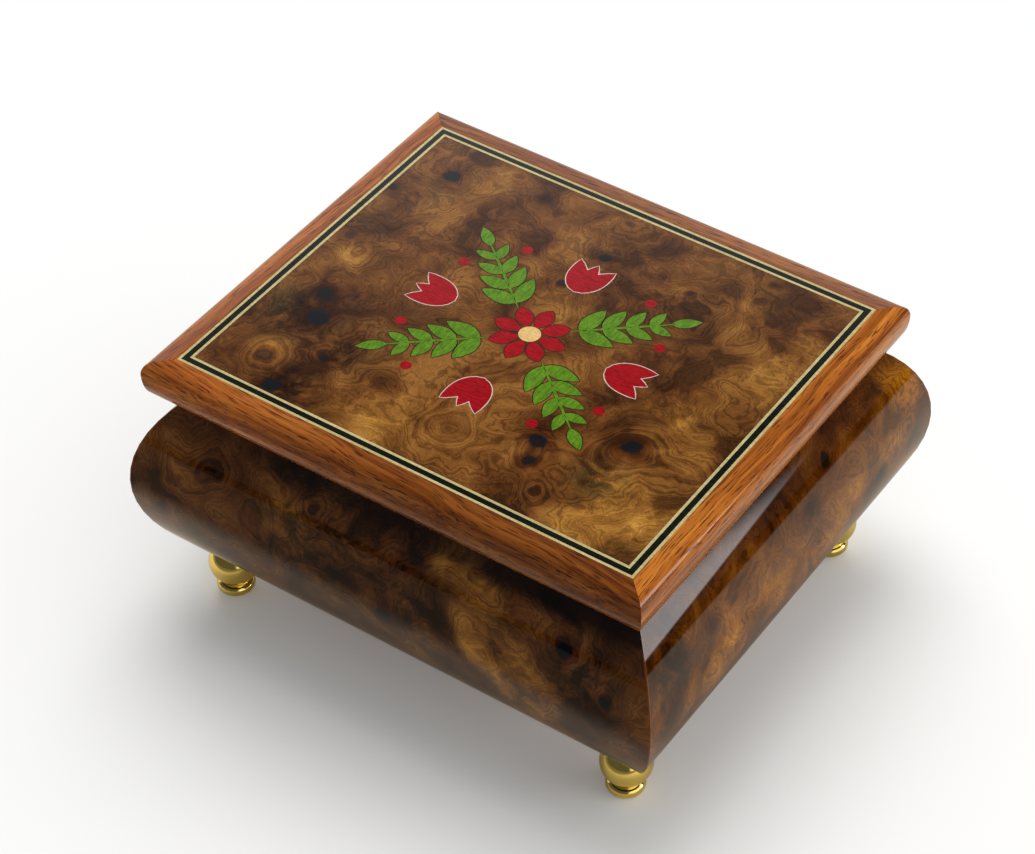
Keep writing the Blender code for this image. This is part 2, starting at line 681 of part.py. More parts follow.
def bearing_bracket(name, y, thickness):
    """An upright with a round head and the bearing of the cylinder's arbor."""
    half, low = BRACKET_HALF_WIDTH, BED_TOP - JOIN_DEPTH
    head = circle(AXIS_X, AXIS_Z, half, 8, 0.0, math.pi)
    bore = circle(AXIS_X, AXIS_Z, ARBOR_RADIUS + BEARING_GAP, 12)
    bm = bmesh.new()
    outline = head + [(AXIS_X - half, low), (AXIS_X + half, low)]
    plate(bm, "XZ", outline, y, y + thickness, [bore])
    return finish(name, bm, cast_zinc())


def comb_screw_places():
    span = CYLINDER_LENGTH / 4
    return [(COMB_SCREW_X, CYLINDER_Y + span), (COMB_SCREW_X, CYLINDER_END - span)]


def make_bedplate():
    """The cast bedplate with its comb pedestal and the cylinder's two brackets."""
    ends_x = (BED_X - BEDPLATE_WIDTH / 2, BED_X + BEDPLATE_WIDTH / 2)
    ends_y = (BEDPLATE_REAR - BEDPLATE_LENGTH, BEDPLATE_REAR)
    holes = [circle(AXIS_X, BARREL_Y, WINDING_ARBOR_RADIUS + BEARING_GAP)]
    holes += [circle(x, y, MOUNT_SCREW_RADIUS + BEARING_GAP, 12) for x, y in mount_screw_places()]
    bm = bmesh.new()
    plate(bm, "XY", rounded_box(ends_x, ends_y, BEDPLATE_CORNER), BED_LOW, BED_TOP, holes)
    bed = finish("bedplate", bm, cast_zinc())
    bm = bmesh.new()
    ends_x = (COMB_END_X - COMB_HEEL - PEDESTAL_MARGIN, COMB_END_X)
    outline = rounded_box(ends_x, (CYLINDER_Y, CYLINDER_END), PEDESTAL_MARGIN, 2)
    holes = [circle(x, y, COMB_SCREW_RADIUS + BEARING_GAP, 12) for x, y in comb_screw_places()]
    plate(bm, "XY", outline, BED_TOP - JOIN_DEPTH, COMB_LOW - SEAT_GAP, holes)
    join(bed, finish("comb_pedestal", bm, cast_zinc()))
    join(bed, bearing_bracket("front_bracket", BRACKET_Y, BRACKET_THICKNESS))
    join(bed, bearing_bracket("rear_bracket", REAR_BRACKET_Y, BRACKET_THICKNESS))


def make_comb():
    """A slotted steel plate; each tooth is drawn out of the heel, and the bass ones are weighted."""
    pitch = CYLINDER_LENGTH / NOTES
    half = TOOTH_SHARE * pitch / 2
    middles = [CYLINDER_Y + pitch * (i + 0.5) for i in range(NOTES)]
    stations = [CYLINDER_Y] + [y for m in middles for y in (m - half, m + half)] + [CYLINDER_END]
    heel_x = COMB_END_X - COMB_HEEL
    reach = heel_x - COMB_TIP_X
    bass, treble = (reach * share for share in SLOT_SHARES)
    bm = bmesh.new()
    section = ((heel_x, COMB_LOW), (COMB_END_X, COMB_LOW), (COMB_END_X, COMB_TOP), (heel_x, COMB_TOP))
    loft(bm, [[(x, y, z) for x, z in section] for y in stations])
    bmesh.ops.recalc_face_normals(bm, faces=bm.faces)
    fronts = [face for face in bm.faces if face.normal.x < -0.9]
    fronts.sort(key=lambda face: face.calc_center_median().y)
    for note, face in enumerate(fronts[1::2]):
        slot = bass + (treble - bass) * note / (NOTES - 1)
        stages = [(reach - slot, 1.0)] + [(slot * share, left) for share, left in TOOTH_STAGES]
        for length, thickness in stages:
            drawn = bmesh.ops.extrude_discrete_faces(bm, faces=[face])["faces"][0]
            bmesh.ops.translate(bm, verts=drawn.verts, vec=(-length, 0.0, 0.0))
            for corner in drawn.verts:
                if corner.co.z < COMB_TOP - COMB_THICKNESS / 10:
                    corner.co.z = COMB_TOP - COMB_THICKNESS * thickness
            face = drawn
        if note < WEIGHTED_TEETH:
            weigh_tooth(bm, face)
    comb = finish("comb", bm, steel())
    for index, (x, y) in enumerate(comb_screw_places()):
        bm = bmesh.new()
        hole = circle(x, y, COMB_SCREW_RADIUS + BEARING_GAP, 12)
        plate(bm, "XY", hole, COMB_LOW - JOIN_DEPTH, COMB_TOP + JOIN_DEPTH)
        join(comb, finish(f"comb_hole_{index}", bm, steel()), "DIFFERENCE")


def weigh_tooth(bm, tip):
    """Draws a lead weight down out of the last stretch of a tooth's underside."""
    bm.normal_update()
    beside = {face for edge in tip.edges for face in edge.link_faces if face is not tip}
    under = min(beside, key=lambda face: face.calc_center_median().z)
    drawn = bmesh.ops.extrude_discrete_faces(bm, faces=[under])["faces"][0]
    for corner in drawn.verts:
        corner.co.z = COMB_LOW - WEIGHT_DEPTH


def make_comb_screws():
    for index, centre in enumerate(comb_screw_places()):
        low = COMB_LOW - COMB_SCREW_LENGTH
        seat = COMB_TOP + SEAT_GAP / 3
        top = seat + COMB_SCREW_HEAD_HEIGHT
        head, edge = COMB_SCREW_HEAD, COMB_SCREW_HEAD_HEIGHT / 3
        profile = [(0.0, low), (COMB_SCREW_RADIUS, low), (COMB_SCREW_RADIUS, seat), (head, seat)]
        profile += [(head, top - edge), (head - edge, top), (0.0, top)]
        bm = bmesh.new()
        lathe(bm, profile, centre, 12)
        finish(f"comb_screw_{index + 1}", bm, steel(), (*centre, seat))


def gear_outline(centre, teeth, radius, tooth):
    """A spur gear's outline: six points a tooth, a little under half a pitch thick."""
    addendum, dedendum = tooth
    shape = (
        (-0.27, radius - dedendum),
        (-0.2, radius),
        (-0.1, radius + addendum),
        (0.1, radius + addendum),
        (0.2, radius),
        (0.27, radius - dedendum),
    )
    points = []
    for i in range(teeth):
        for share, reach in shape:
            turn = 2 * math.pi * (i + share) / teeth
            points.append((centre[0] + reach * math.cos(turn), centre[1] + reach * math.sin(turn)))
    return points


def pinned(row, column):
    """Whether a tune pin stands in this place: a slow arpeggio with rests."""
    return (5 * row + 7 * column + row * column) % 11 in (0, 4) and column % 8 != 7


def make_cylinder():
    """The pinned cylinder, its arbor, the driving pinion and the governor's driving gear."""
    rows = [CYLINDER_Y + CYLINDER_LENGTH * i / NOTES for i in range(NOTES + 1)]
    bore = ARBOR_RADIUS + BEARING_GAP
    rings = [(bore, rows[0])] + [(CYLINDER_RADIUS, y) for y in rows] + [(bore, rows[-1])]
    loops = []
    for radius, y in rings:
        loops.append([(a, y, b) for a, b in circle(AXIS_X, AXIS_Z, radius, CYLINDER_COLUMNS)])
    bm = bmesh.new()
    loft(bm, loops, closed=True)
    bmesh.ops.recalc_face_normals(bm, faces=bm.faces)
    axis = Vector((AXIS_X, 0.0, AXIS_Z))
    cells = [f for f in bm.faces if abs(f.normal.y) < 0.1]
    for face in cells:
        middle = face.calc_center_median()
        out = Vector((middle.x, 0.0, middle.z)) - axis
        if out.length < CYLINDER_RADIUS / 2:
            continue
        row = int((middle.y - CYLINDER_Y) / CYLINDER_LENGTH * NOTES)
        column = round(math.atan2(out.z, out.x) / (2 * math.pi) * CYLINDER_COLUMNS - 0.5)
        if pinned(row, column % CYLINDER_COLUMNS):
            raise_pin(bm, face, out.normalized())
    origin = (AXIS_X, CYLINDER_Y, AXIS_Z)
    finish("pinned_cylinder", bm, gear_brass(), origin)

    bm = bmesh.new()
    front = BARREL_Y + HOUSING_RADIUS + 1.5 * SEAT_GAP
    rear = REAR_BRACKET_Y + BRACKET_THICKNESS + ARBOR_OVERHANG
    plate(bm, "XZ", circle(AXIS_X, AXIS_Z, ARBOR_RADIUS, 12), front, rear)
    finish("cylinder_arbor", bm, steel(), origin)

    centre = (AXIS_X, AXIS_Z)
    hole = [circle(*centre, ARBOR_RADIUS + BEARING_GAP, 12)]
    pinion = gear_outline(centre, PINION_TEETH, PINION_RADIUS, CROWN_TOOTH)
    ends = (BARREL_Y + CROWN_INNER + BEARING_GAP, BARREL_Y + CROWN_OUTER - BEARING_GAP)
    bm = bmesh.new()
    plate(bm, "XZ", pinion, *ends, hole)
    finish("cylinder_pinion", bm, gear_brass(), origin)
    gear = gear_outline(centre, CYLINDER_GEAR_TEETH, CYLINDER_GEAR_RADIUS, SPUR_TOOTH)
    bm = bmesh.new()
    plate(bm, "XZ", gear, CYLINDER_GEAR_Y, CYLINDER_GEAR_Y + GEAR_THICKNESS, hole)
    finish("cylinder_gear", bm, gear_brass(), origin)


def raise_pin(bm, face, out):
    """Insets one cell of the cylinder to a pin's square foot and draws the pin out of it."""
    foot = bmesh.ops.extrude_discrete_faces(bm, faces=[face])["faces"][0]
    middle = foot.calc_center_median()
    side = Vector((0.0, 1.0, 0.0)).cross(out)
    half = PIN_WIDTH / 2
    for corner in foot.verts:
        shift = corner.co - middle
        across = math.copysign(half, shift.dot(side))
        along = math.copysign(half, shift.y)
        corner.co = middle + across * side + Vector((0.0, along, 0.0))
    top = bmesh.ops.extrude_discrete_faces(bm, faces=[foot])["faces"][0]
    bmesh.ops.translate(bm, verts=top.verts, vec=out * PIN_HEIGHT)


def make_great_wheel():
    """The contrate wheel: a disc and hub with teeth standing up round its rim."""
    root = CROWN_PITCH_Z - CROWN_TOOTH[1]
    tip = CROWN_PITCH_Z + CROWN_TOOTH[0]
    low = root - CROWN_WEB
    loops = []
    for tooth in range(CROWN_TEETH):
        for share, z in ((-0.27, root), (-0.11, tip), (0.11, tip), (0.27, root)):
            turn = 2 * math.pi * (tooth + 0.5 + share) / CROWN_TEETH
            c, s = math.cos(turn), math.sin(turn)
            section = ((CROWN_INNER, low), (CROWN_OUTER, low), (CROWN_OUTER, z), (CROWN_INNER, z))
            loops.append([(AXIS_X + r * c, BARREL_Y + r * s, h) for r, h in section])
    bm = bmesh.new()
    loft(bm, loops, closed=True)
    origin = (AXIS_X, BARREL_Y, low)
    wheel = finish("great_wheel", bm, gear_brass(), origin)
    bore = WINDING_ARBOR_RADIUS + BEARING_GAP
    hub = CROWN_HUB_RADIUS
    web_low, web_top = low + CROWN_WEB / 8, root - CROWN_WEB / 8
    hub_low = BED_TOP + SEAT_GAP
    profile = [(bore, hub_low), (hub, hub_low), (hub, web_low), (CROWN_RADIUS, web_low)]
    profile += [(CROWN_RADIUS, web_top), (bore, web_top)]
    bm = bmesh.new()
    lathe(bm, profile, (AXIS_X, BARREL_Y), 24)
    join(wheel, finish("great_wheel_web", bm, gear_brass(), origin))


def make_spring():
    """The spring's fixed housing on two legs, the mainspring, the winding arbor and the key."""
    centre = (AXIS_X, BARREL_Y)
    low = CROWN_PITCH_Z - CROWN_TOOTH[1] + SEAT_GAP
    top = low + HOUSING_HEIGHT
    inner = HOUSING_RADIUS - HOUSING_WALL
    bore = WINDING_ARBOR_RADIUS + BEARING_GAP
    profile = [(inner, low), (HOUSING_RADIUS, low), (HOUSING_RADIUS, top - HOUSING_WALL / 2)]
    profile += [(HOUSING_RADIUS - HOUSING_WALL / 2, top), (bore, top), (bore, top - HOUSING_WALL)]
    profile.append((inner, top - HOUSING_WALL))
    bm = bmesh.new()
    lathe(bm, profile, centre, 32)
    housing = finish("spring_housing", bm, polished_brass(), (*centre, low))
    reach = CROWN_OUTER + POST_RADIUS + 2 * SEAT_GAP
    arm_high = top - 2 * HOUSING_WALL
    for index, turn in enumerate((math.radians(225), math.radians(315))):
        c, s = math.cos(turn), math.sin(turn)
        at = (centre[0] + reach * c, centre[1] + reach * s)
        bm = bmesh.new()
        plate(bm, "XY", circle(*at, POST_RADIUS, 12), BED_TOP + SEAT_GAP, top - HOUSING_WALL / 2)
        join(housing, finish(f"housing_post_{index}", bm, polished_brass()))
        inner_end = HOUSING_RADIUS - HOUSING_WALL / 2
        half = POST_RADIUS * 0.8
        corners = ((inner_end, -half), (reach, -half), (reach, half), (inner_end, half))
        arm = [(centre[0] + r * c - w * s, centre[1] + r * s + w * c) for r, w in corners]
        bm = bmesh.new()
        plate(bm, "XY", arm, arm_high - 2 * HOUSING_WALL, arm_high)
        join(housing, finish(f"housing_arm_{index}", bm, polished_brass()))

    start = bore + SEAT_GAP
    end = inner - SEAT_GAP - SPRING_STRIP
    steps = 18
    count = round(SPRING_TURNS * steps)
    z_low, z_high = low + HOUSING_WALL, top - 2 * HOUSING_WALL
    loops = []
    for i in range(count + 1):
        turn = 2 * math.pi * i / steps
        near = start + (end - start) * i / count
        far = near + SPRING_STRIP
        c, s = math.cos(turn), math.sin(turn)
        section = ((near, z_low), (far, z_low), (far, z_high), (near, z_high))
        loops.append([(centre[0] + r * c, centre[1] + r * s, z) for r, z in section])
    bm = bmesh.new()
    loft(bm, loops)
    finish("mainspring", bm, steel(), (*centre, low))

    origin = (*centre, BODY_LOW)
    key_low, key_top = KEY_CLEARANCE, BODY_LOW - KEY_DROP
    socket = key_low + KEY_FLOOR
    bm = bmesh.new()
    round_rod = circle(*centre, WINDING_ARBOR_RADIUS, 20)
    plate(bm, "XY", round_rod, socket + SEAT_GAP, top + 2 * SEAT_GAP)
    finish("winding_arbor", bm, steel(), origin)
    r = WINDING_ARBOR_RADIUS + BEARING_GAP
    profile = [(0.0, key_low), (KEY_HUB_RADIUS, key_low), (KEY_HUB_RADIUS, key_top), (r, key_top)]
    profile += [(r, socket), (0.0, socket)]
    bm = bmesh.new()
    lathe(bm, profile, centre, 20)
    key = finish("winding_key", bm, polished_brass(), origin)
    for index, sign in enumerate((-1, 1)):
        half = KEY_WING_THICKNESS / 2
        near, far = KEY_HUB_RADIUS - half, KEY_WING_SPAN / 2
        ends = sorted((centre[0] + sign * near, centre[0] + sign * far))
        wing = rounded_box(ends, (key_low, key_top - KEY_WING_SHOULDER), KEY_WING_THICKNESS, 3)
        bm = bmesh.new()
        plate(bm, "XZ", wing, centre[1] - half, centre[1] + half)
        join(key, finish(f"key_wing_{index}", bm, polished_brass(), origin))


def make_mount_screws():
    for index, centre in enumerate(mount_screw_places()):
        seat = BODY_LOW - SEAT_GAP
        low = seat - MOUNT_SCREW_HEAD_HEIGHT
        top = BED_TOP - SEAT_GAP
        head, edge = MOUNT_SCREW_HEAD, MOUNT_SCREW_HEAD_HEIGHT / 2
        profile = [(0.0, low), (head - edge, low), (head, low + edge), (head, seat)]
        profile += [(MOUNT_SCREW_RADIUS, seat), (MOUNT_SCREW_RADIUS, top), (0.0, top)]
        bm = bmesh.new()
        lathe(bm, profile, centre, 12)
        finish(f"mounting_screw_{index + 1}", bm, steel(), (*centre, seat))


def make_governor_frame():
    """A folded sheet frame: two bearing plates, a side plate with an ear, and two arms."""
    low = BED_TOP + SEAT_GAP
    sheet = FRAME_SHEET
    right = FRAME_RIGHT_X + sheet
    rear = FRAME_REAR_Y + sheet
    bm = bmesh.new()
    box(bm, (FRAME_LEFT_X, right), (FRAME_FRONT_Y, rear), (low, low + sheet))
    frame = finish("governor_frame", bm, gear_brass())
    bore = circle(GOVERNOR_X, AXIS_Z, PIVOT_RADIUS + BEARING_GAP, 12)
    upright = [
        (FRAME_LEFT_X, low),
        (right, low),
        (right, FRAME_PLATE_TOP),
        (FRAME_LEFT_X, FRAME_PLATE_TOP),
    ]
    for name, y in (("front", FRAME_FRONT_Y), ("rear", FRAME_REAR_Y)):
        bm = bmesh.new()
        plate(bm, "XZ", upright, y, y + sheet, [bore])
        join(frame, finish(f"governor_{name}_plate", bm, gear_brass()))
    top = TOP_ARM_Z + sheet
    ear = circle(PIVOT_Y, PIVOT_Z, PIVOT_RADIUS + JOIN_DEPTH, 6, -math.pi / 2, math.pi)
    side = [(FRAME_FRONT_Y, low), (rear, low), (rear, PIVOT_Z - 5 * PIVOT_RADIUS)] + ear
    side += [(rear, top), (FRAME_FRONT_Y, top)]
    hole = circle(PIVOT_Y, PIVOT_Z, PIVOT_RADIUS + BEARING_GAP, 12)
    bm = bmesh.new()
    plate(bm, "YZ", side, FRAME_RIGHT_X, right, [hole])
    join(frame, finish("governor_side_plate", bm, gear_brass()))
    half = FRAME_ARM_HALF_WIDTH
    for name, z in (("lower", AXIS_Z - LOWER_ARM_DROP), ("upper", TOP_ARM_Z)):
        bm = bmesh.new()
        box(bm, (WORM_X - half, right), (WORM_Y - half, WORM_Y + half), (z, z + sheet))
        join(frame, finish(f"governor_{name}_arm", bm, gear_brass()))


def make_governor_train():
    """The governor's arbor with its pinion, the wheel on it, the worm and the fan."""
    centre = (GOVERNOR_X, AXIS_Z)
    low_y = CYLINDER_GEAR_Y - BEARING_GAP
    origin = (GOVERNOR_X, GOVERNOR_WHEEL_Y, AXIS_Z)
    outline = gear_outline(centre, GOVERNOR_PINION_TEETH, GOVERNOR_PINION_RADIUS, SPUR_TOOTH)
    bm = bmesh.new()
    plate(bm, "XZ", outline, low_y, low_y + GEAR_THICKNESS + 2 * BEARING_GAP)
    arbor = finish("governor_arbor", bm, steel(), origin)
    bm = bmesh.new()
    rod = circle(*centre, PIVOT_RADIUS, 12)
    plate(bm, "XZ", rod, low_y + SEAT_GAP, FRAME_REAR_Y + FRAME_SHEET + SEAT_GAP)
    join(arbor, finish("governor_rod", bm, steel(), origin))

    outline = gear_outline(centre, GOVERNOR_WHEEL_TEETH, GOVERNOR_WHEEL_RADIUS, WORM_WHEEL_TOOTH)
    hole = circle(*centre, PIVOT_RADIUS + BEARING_GAP, 12)
    bm = bmesh.new()
    plate(bm, "XZ", outline, GOVERNOR_WHEEL_Y, GOVERNOR_WHEEL_Y + GEAR_THICKNESS, [hole])
    finish("governor_wheel", bm, pale_plastic(), origin)
    make_worm()

    hole = circle(WORM_X, WORM_Y, WORM_SHAFT_RADIUS + BEARING_GAP, 12)
    bm = bmesh.new()
    plate(bm, "XY", fan_outline(), FAN_Z, FAN_Z + FAN_HEIGHT, [hole])
    finish("governor_fan", bm, pale_plastic(), (WORM_X, WORM_Y, AXIS_Z))


def fan_outline():
    """A round hub with a flat blade each side, seen from above."""
    half = FAN_SHEET / 2
    start = math.asin(half / FAN_HUB_RADIUS)
    sweep = math.pi - 2 * start
    upper = circle(WORM_X, WORM_Y, FAN_HUB_RADIUS, 6, start, sweep)
    lower = circle(WORM_X, WORM_Y, FAN_HUB_RADIUS, 6, start + math.pi, sweep)
    left, right = WORM_X - FAN_RADIUS, WORM_X + FAN_RADIUS
    left_end = [(left, WORM_Y + half), (left, WORM_Y - half)]
    right_end = [(right, WORM_Y - half), (right, WORM_Y + half)]
    return upper + left_end + lower + right_end


def worm_radius(turn, z, pitch):
    """The worm's radius at this angle and height: a single right-hand thread."""
    phase = ((z - AXIS_Z) / pitch - (turn - math.pi) / (2 * math.pi)) % 1.0
    from_crest = abs(phase - 0.5)
    root, crest = WORM_RADIUS - WORM_THREAD[1], WORM_RADIUS + WORM_THREAD[0]
    rise = min(1.0, max(0.0, (0.3 - from_crest) / 0.18))
    return root + (crest - root) * rise


def make_worm():
    """The upright worm with its brake disc and pivots, as one turned piece."""
    steps = 12
    pitch = 2 * math.pi * GOVERNOR_WHEEL_RADIUS / GOVERNOR_WHEEL_TEETH
    shaft, taper = WORM_SHAFT_RADIUS, WORM_PIVOT_RADIUS
    foot = AXIS_Z - LOWER_ARM_DROP + FRAME_SHEET + BEARING_GAP
    head = TOP_ARM_Z - BEARING_GAP
    brake_top = BRAKE_Z + BRAKE_THICKNESS
    thread_low, thread_high = AXIS_Z - 3 * pitch, AXIS_Z + 2.5 * pitch
    rings = [(taper, foot), (shaft, foot + taper), (shaft, thread_low - taper)]
    count = round((thread_high - thread_low) / pitch * 6)
    rings += [(None, thread_low + (thread_high - thread_low) * i / count) for i in range(count + 1)]
    rings += [(shaft, thread_high + taper), (shaft, BRAKE_Z), (BRAKE_RADIUS, BRAKE_Z)]
    rings += [(BRAKE_RADIUS, brake_top), (shaft, brake_top), (shaft, head - taper), (taper, head)]
    loops = []
    for radius, z in rings:
        loop = []
        for i in range(steps):
            turn = 2 * math.pi * i / steps
            r = worm_radius(turn, z, pitch) if radius is None else radius
            loop.append((WORM_X + r * math.cos(turn), WORM_Y + r * math.sin(turn), z))
        loops.append(loop)
    bm = bmesh.new()
    loft(bm, loops)
    finish("worm", bm, steel(), (WORM_X, WORM_Y, AXIS_Z))


def make_stop():
    """The stop: a bell-crank lever, its pin, and the plunger that the closing lid presses."""
    half = LEVER_BAR / 2
    tip_y = WORM_Y + BRAKE_RADIUS + SEAT_GAP
    tip_z = BRAKE_Z + BRAKE_THICKNESS / 2
    end_y = PIVOT_Y + LEVER_ARM + half
    arm_z = PIVOT_Z + half
    outline = [
        (tip_y, tip_z - half * 0.6),
        (PIVOT_Y + half, tip_z - half * 0.6),
        (PIVOT_Y + 2 * half, PIVOT_Z - 2 * PIVOT_RADIUS),
        (end_y, arm_z - half),
        (end_y, arm_z + half),
        (PIVOT_Y + 2 * PIVOT_RADIUS, PIVOT_Z + 1.9 * PIVOT_RADIUS),
        (PIVOT_Y - PIVOT_RADIUS, PIVOT_Z + 2 * PIVOT_RADIUS),
        (PIVOT_Y - 2.1 * PIVOT_RADIUS, PIVOT_Z + 0.5 * PIVOT_RADIUS),
        (PIVOT_Y - 1.8 * PIVOT_RADIUS, PIVOT_Z - 1.3 * PIVOT_RADIUS),
        (PIVOT_Y - half, tip_z + 2 * half),
        (PIVOT_Y - 2 * half, tip_z + half * 0.6),
        (tip_y, tip_z + half * 0.6),
    ]
    hole = circle(PIVOT_Y, PIVOT_Z, PIVOT_RADIUS + BEARING_GAP, 10)
    x_low = WORM_X - LEVER_THICKNESS / 2
    x_high = x_low + LEVER_THICKNESS
    bm = bmesh.new()
    plate(bm, "YZ", outline, x_low, x_high, [hole])
    finish("stop_lever", bm, steel(), (WORM_X, PIVOT_Y, PIVOT_Z))
    bm = bmesh.new()
    pin = circle(PIVOT_Y, PIVOT_Z, PIVOT_RADIUS, 12)
    plate(bm, "YZ", pin, x_low - PIVOT_RADIUS, FRAME_RIGHT_X + FRAME_SHEET + SEAT_GAP)
    finish("stop_pin", bm, steel(), (WORM_X, PIVOT_Y, PIVOT_Z))

    low = arm_z + half + SEAT_GAP
    top = LINING_LOW - PLUNGER_DROP
    centre = (WORM_X, PLUNGER_Y)
    r, edge = PLUNGER_RADIUS, PLUNGER_RADIUS / 3
    profile = [(0.0, low), (r - edge, low), (r, low + edge), (r, top - edge)]
    profile += [(r - edge, top), (0.0, top)]
    bm = bmesh.new()
    lathe(bm, profile, centre, 16)
    finish("start_plunger", bm, polished_brass(), (*centre, low))


def main():
    clear_scene()
    make_body()
    make_feet()
    make_lid()
    make_hinge("left", -HINGE_X)
    make_hinge("right", HINGE_X)
    make_interior()
    make_bedplate()
    make_comb()
    make_comb_screws()
    make_cylinder()
    make_great_wheel()
    make_spring()
    make_mount_screws()
    make_governor_frame()
    make_governor_train()
    make_stop()


main()
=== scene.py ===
"""Looks of the wooden music box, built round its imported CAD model."""

import math

import bmesh
import bpy
from mathutils import Matrix, Vector


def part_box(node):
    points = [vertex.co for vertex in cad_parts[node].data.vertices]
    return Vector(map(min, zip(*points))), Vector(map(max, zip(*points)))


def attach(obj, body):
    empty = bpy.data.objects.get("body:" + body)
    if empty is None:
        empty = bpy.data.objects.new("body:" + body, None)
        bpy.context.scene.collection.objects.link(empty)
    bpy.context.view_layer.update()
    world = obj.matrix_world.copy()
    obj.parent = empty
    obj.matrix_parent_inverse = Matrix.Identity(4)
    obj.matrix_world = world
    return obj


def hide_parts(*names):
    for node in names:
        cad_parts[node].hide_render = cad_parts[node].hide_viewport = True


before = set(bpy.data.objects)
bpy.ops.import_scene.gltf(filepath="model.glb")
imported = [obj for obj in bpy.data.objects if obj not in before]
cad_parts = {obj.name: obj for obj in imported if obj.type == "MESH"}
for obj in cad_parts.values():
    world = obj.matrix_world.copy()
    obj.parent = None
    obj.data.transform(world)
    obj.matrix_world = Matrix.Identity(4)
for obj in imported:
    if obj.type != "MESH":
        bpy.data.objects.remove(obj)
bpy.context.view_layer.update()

MM = 0.001

# The photograph's camera, found from the lid's corners and the body's outline
PHOTO_WIDTH = 1035
CAMERA_AZIMUTH = math.radians(34.186)
CAMERA_ELEVATION = math.radians(43.214)
CAMERA_ROLL = math.radians(0.04)
CAMERA_DISTANCE = 752.56 * MM  # from the lid's centre
CAMERA_SIDE = -3.06 * MM
CAMERA_RISE = -23.38 * MM
FOCAL_PIXELS = 2990.66

# Sizes of the box that the pieces are fitted to, in millimetres
HALF_X, HALF_Y = 67.5, 57.35  # the rectangle outside the stringing
LID_X = -1.9  # the lid's middle: it is hinged a little to the left
LID_TOP = 82.7
MITRE_OPENING = 0.17  # by which each mitred end is brought up to its neighbour
MOULDING_GAP = 0.37  # by which the moulding is brought up to the stringing
LINE_GAP = 0.045  # by which each line of the stringing is brought up to its neighbours
LINE_SHARE = 0.25  # by which the black line is wider on both sides than in the CAD model
LINE_REACH = 0.45  # within which of a line's outer edge its points belong to that edge
PANEL_DROP = 0.03  # by which the veneered panel's top lies below the inlay
MITRE_REACH = 0.3  # within which of a mitre a point belongs to it

# The inlay's levels below the lid's top, in millimetres
INLAY_TOP = 0.002
INLAY_FOOT = 0.09
BED_DROP = 0.008  # by which each piece's bed, which shows as its outline, lies lower


# Making and shaping pieces


def only(piece):
    """Selects one piece and makes it active."""
    bpy.ops.object.select_all(action="DESELECT")
    piece.select_set(True)
    bpy.context.view_layer.objects.active = piece


def added(name, data):
    """Puts a new object into the scene."""
    made = bpy.data.objects.new(name, data)
    bpy.context.scene.collection.objects.link(made)
    return made


def choose(piece, kind, test):
    """Opens a piece for editing with the verts or edges selected that pass the test."""
    only(piece)
    bpy.ops.object.mode_set(mode="EDIT")
    bpy.ops.mesh.select_mode(type=kind)
    bpy.ops.mesh.select_all(action="DESELECT")
    mesh = bmesh.from_edit_mesh(piece.data)
    found = 0
    for part in mesh.verts if kind == "VERT" else mesh.edges:
        if test(part):
            part.select_set(True)
            found += 1
    bmesh.update_edit_mesh(piece.data)
    return found


def close_edit():
    bpy.ops.object.mode_set(mode="OBJECT")


def shift(piece, test, by):
    """Moves the points that pass the test by a vector in millimetres."""
    if choose(piece, "VERT", test):
        bpy.ops.transform.translate(value=[b * MM for b in by])
    close_edit()


def drawn_from(node, name):
    """A merged copy of a CAD node's mesh, to be refined and shown in its place."""
    piece = added(name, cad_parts[node].data.copy())
    only(piece)
    if piece.data.has_custom_normals:
        bpy.ops.mesh.customdata_custom_splitnormals_clear()
    bpy.ops.object.mode_set(mode="EDIT")
    bpy.ops.mesh.select_all(action="SELECT")
    bpy.ops.mesh.remove_doubles(threshold=0.002 * MM)
    bpy.ops.mesh.dissolve_limited(angle_limit=math.radians(0.6))
    close_edit()
    return piece


def modify(piece, kind, **settings):
    """Adds a modifier and applies it."""
    change = piece.modifiers.new(kind.lower(), kind)
    for key, value in settings.items():
        setattr(change, key, value)
    only(piece)
    bpy.ops.object.modifier_apply(modifier=change.name)


def soften(piece, width, segments=2, angle=35.0):
    """Rounds the sharp edges of a piece; the width is in millimetres."""
    modify(
        piece,
        "BEVEL",
        width=width * MM,
        segments=segments,
        limit_method="ANGLE",
        angle_limit=math.radians(angle),
        use_clamp_overlap=True,
    )


def settle(piece, body, look, nodes=(), smooth=35.0):
    """Gives a finished piece its material and shading, and puts it on its body."""
    piece.data.materials.clear()
    piece.data.materials.append(look)
    only(piece)
    bpy.ops.object.shade_smooth_by_angle(angle=math.radians(smooth))
    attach(piece, body)
    if nodes:
        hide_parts(*nodes)


def place(piece):
    """Puts a piece's place, turn and scale into its mesh."""
    only(piece)
    bpy.ops.object.transform_apply(location=True, rotation=True, scale=True)


def open_disc(name, steps, radius, centre):
    """A disc, opened for editing with all of it selected; sizes are in millimetres."""
    bpy.ops.object.select_all(action="DESELECT")
    bpy.ops.mesh.primitive_circle_add(
        vertices=steps, radius=radius * MM, fill_type="NGON", location=[c * MM for c in centre]
    )
    piece = bpy.context.object
    piece.name = name
    place(piece)
    bpy.ops.object.mode_set(mode="EDIT")
    bpy.ops.mesh.select_all(action="SELECT")
    return piece


def extrude_up(height):
    """Extrudes what is selected upwards by millimetres."""
    bpy.ops.mesh.extrude_region_move(TRANSFORM_OT_translate={"value": (0.0, 0.0, height * MM)})


def close_shell():
    """Turns all faces outwards and ends the editing."""
    bpy.ops.mesh.select_all(action="SELECT")
    bpy.ops.mesh.normals_make_consistent(inside=False)
    close_edit()


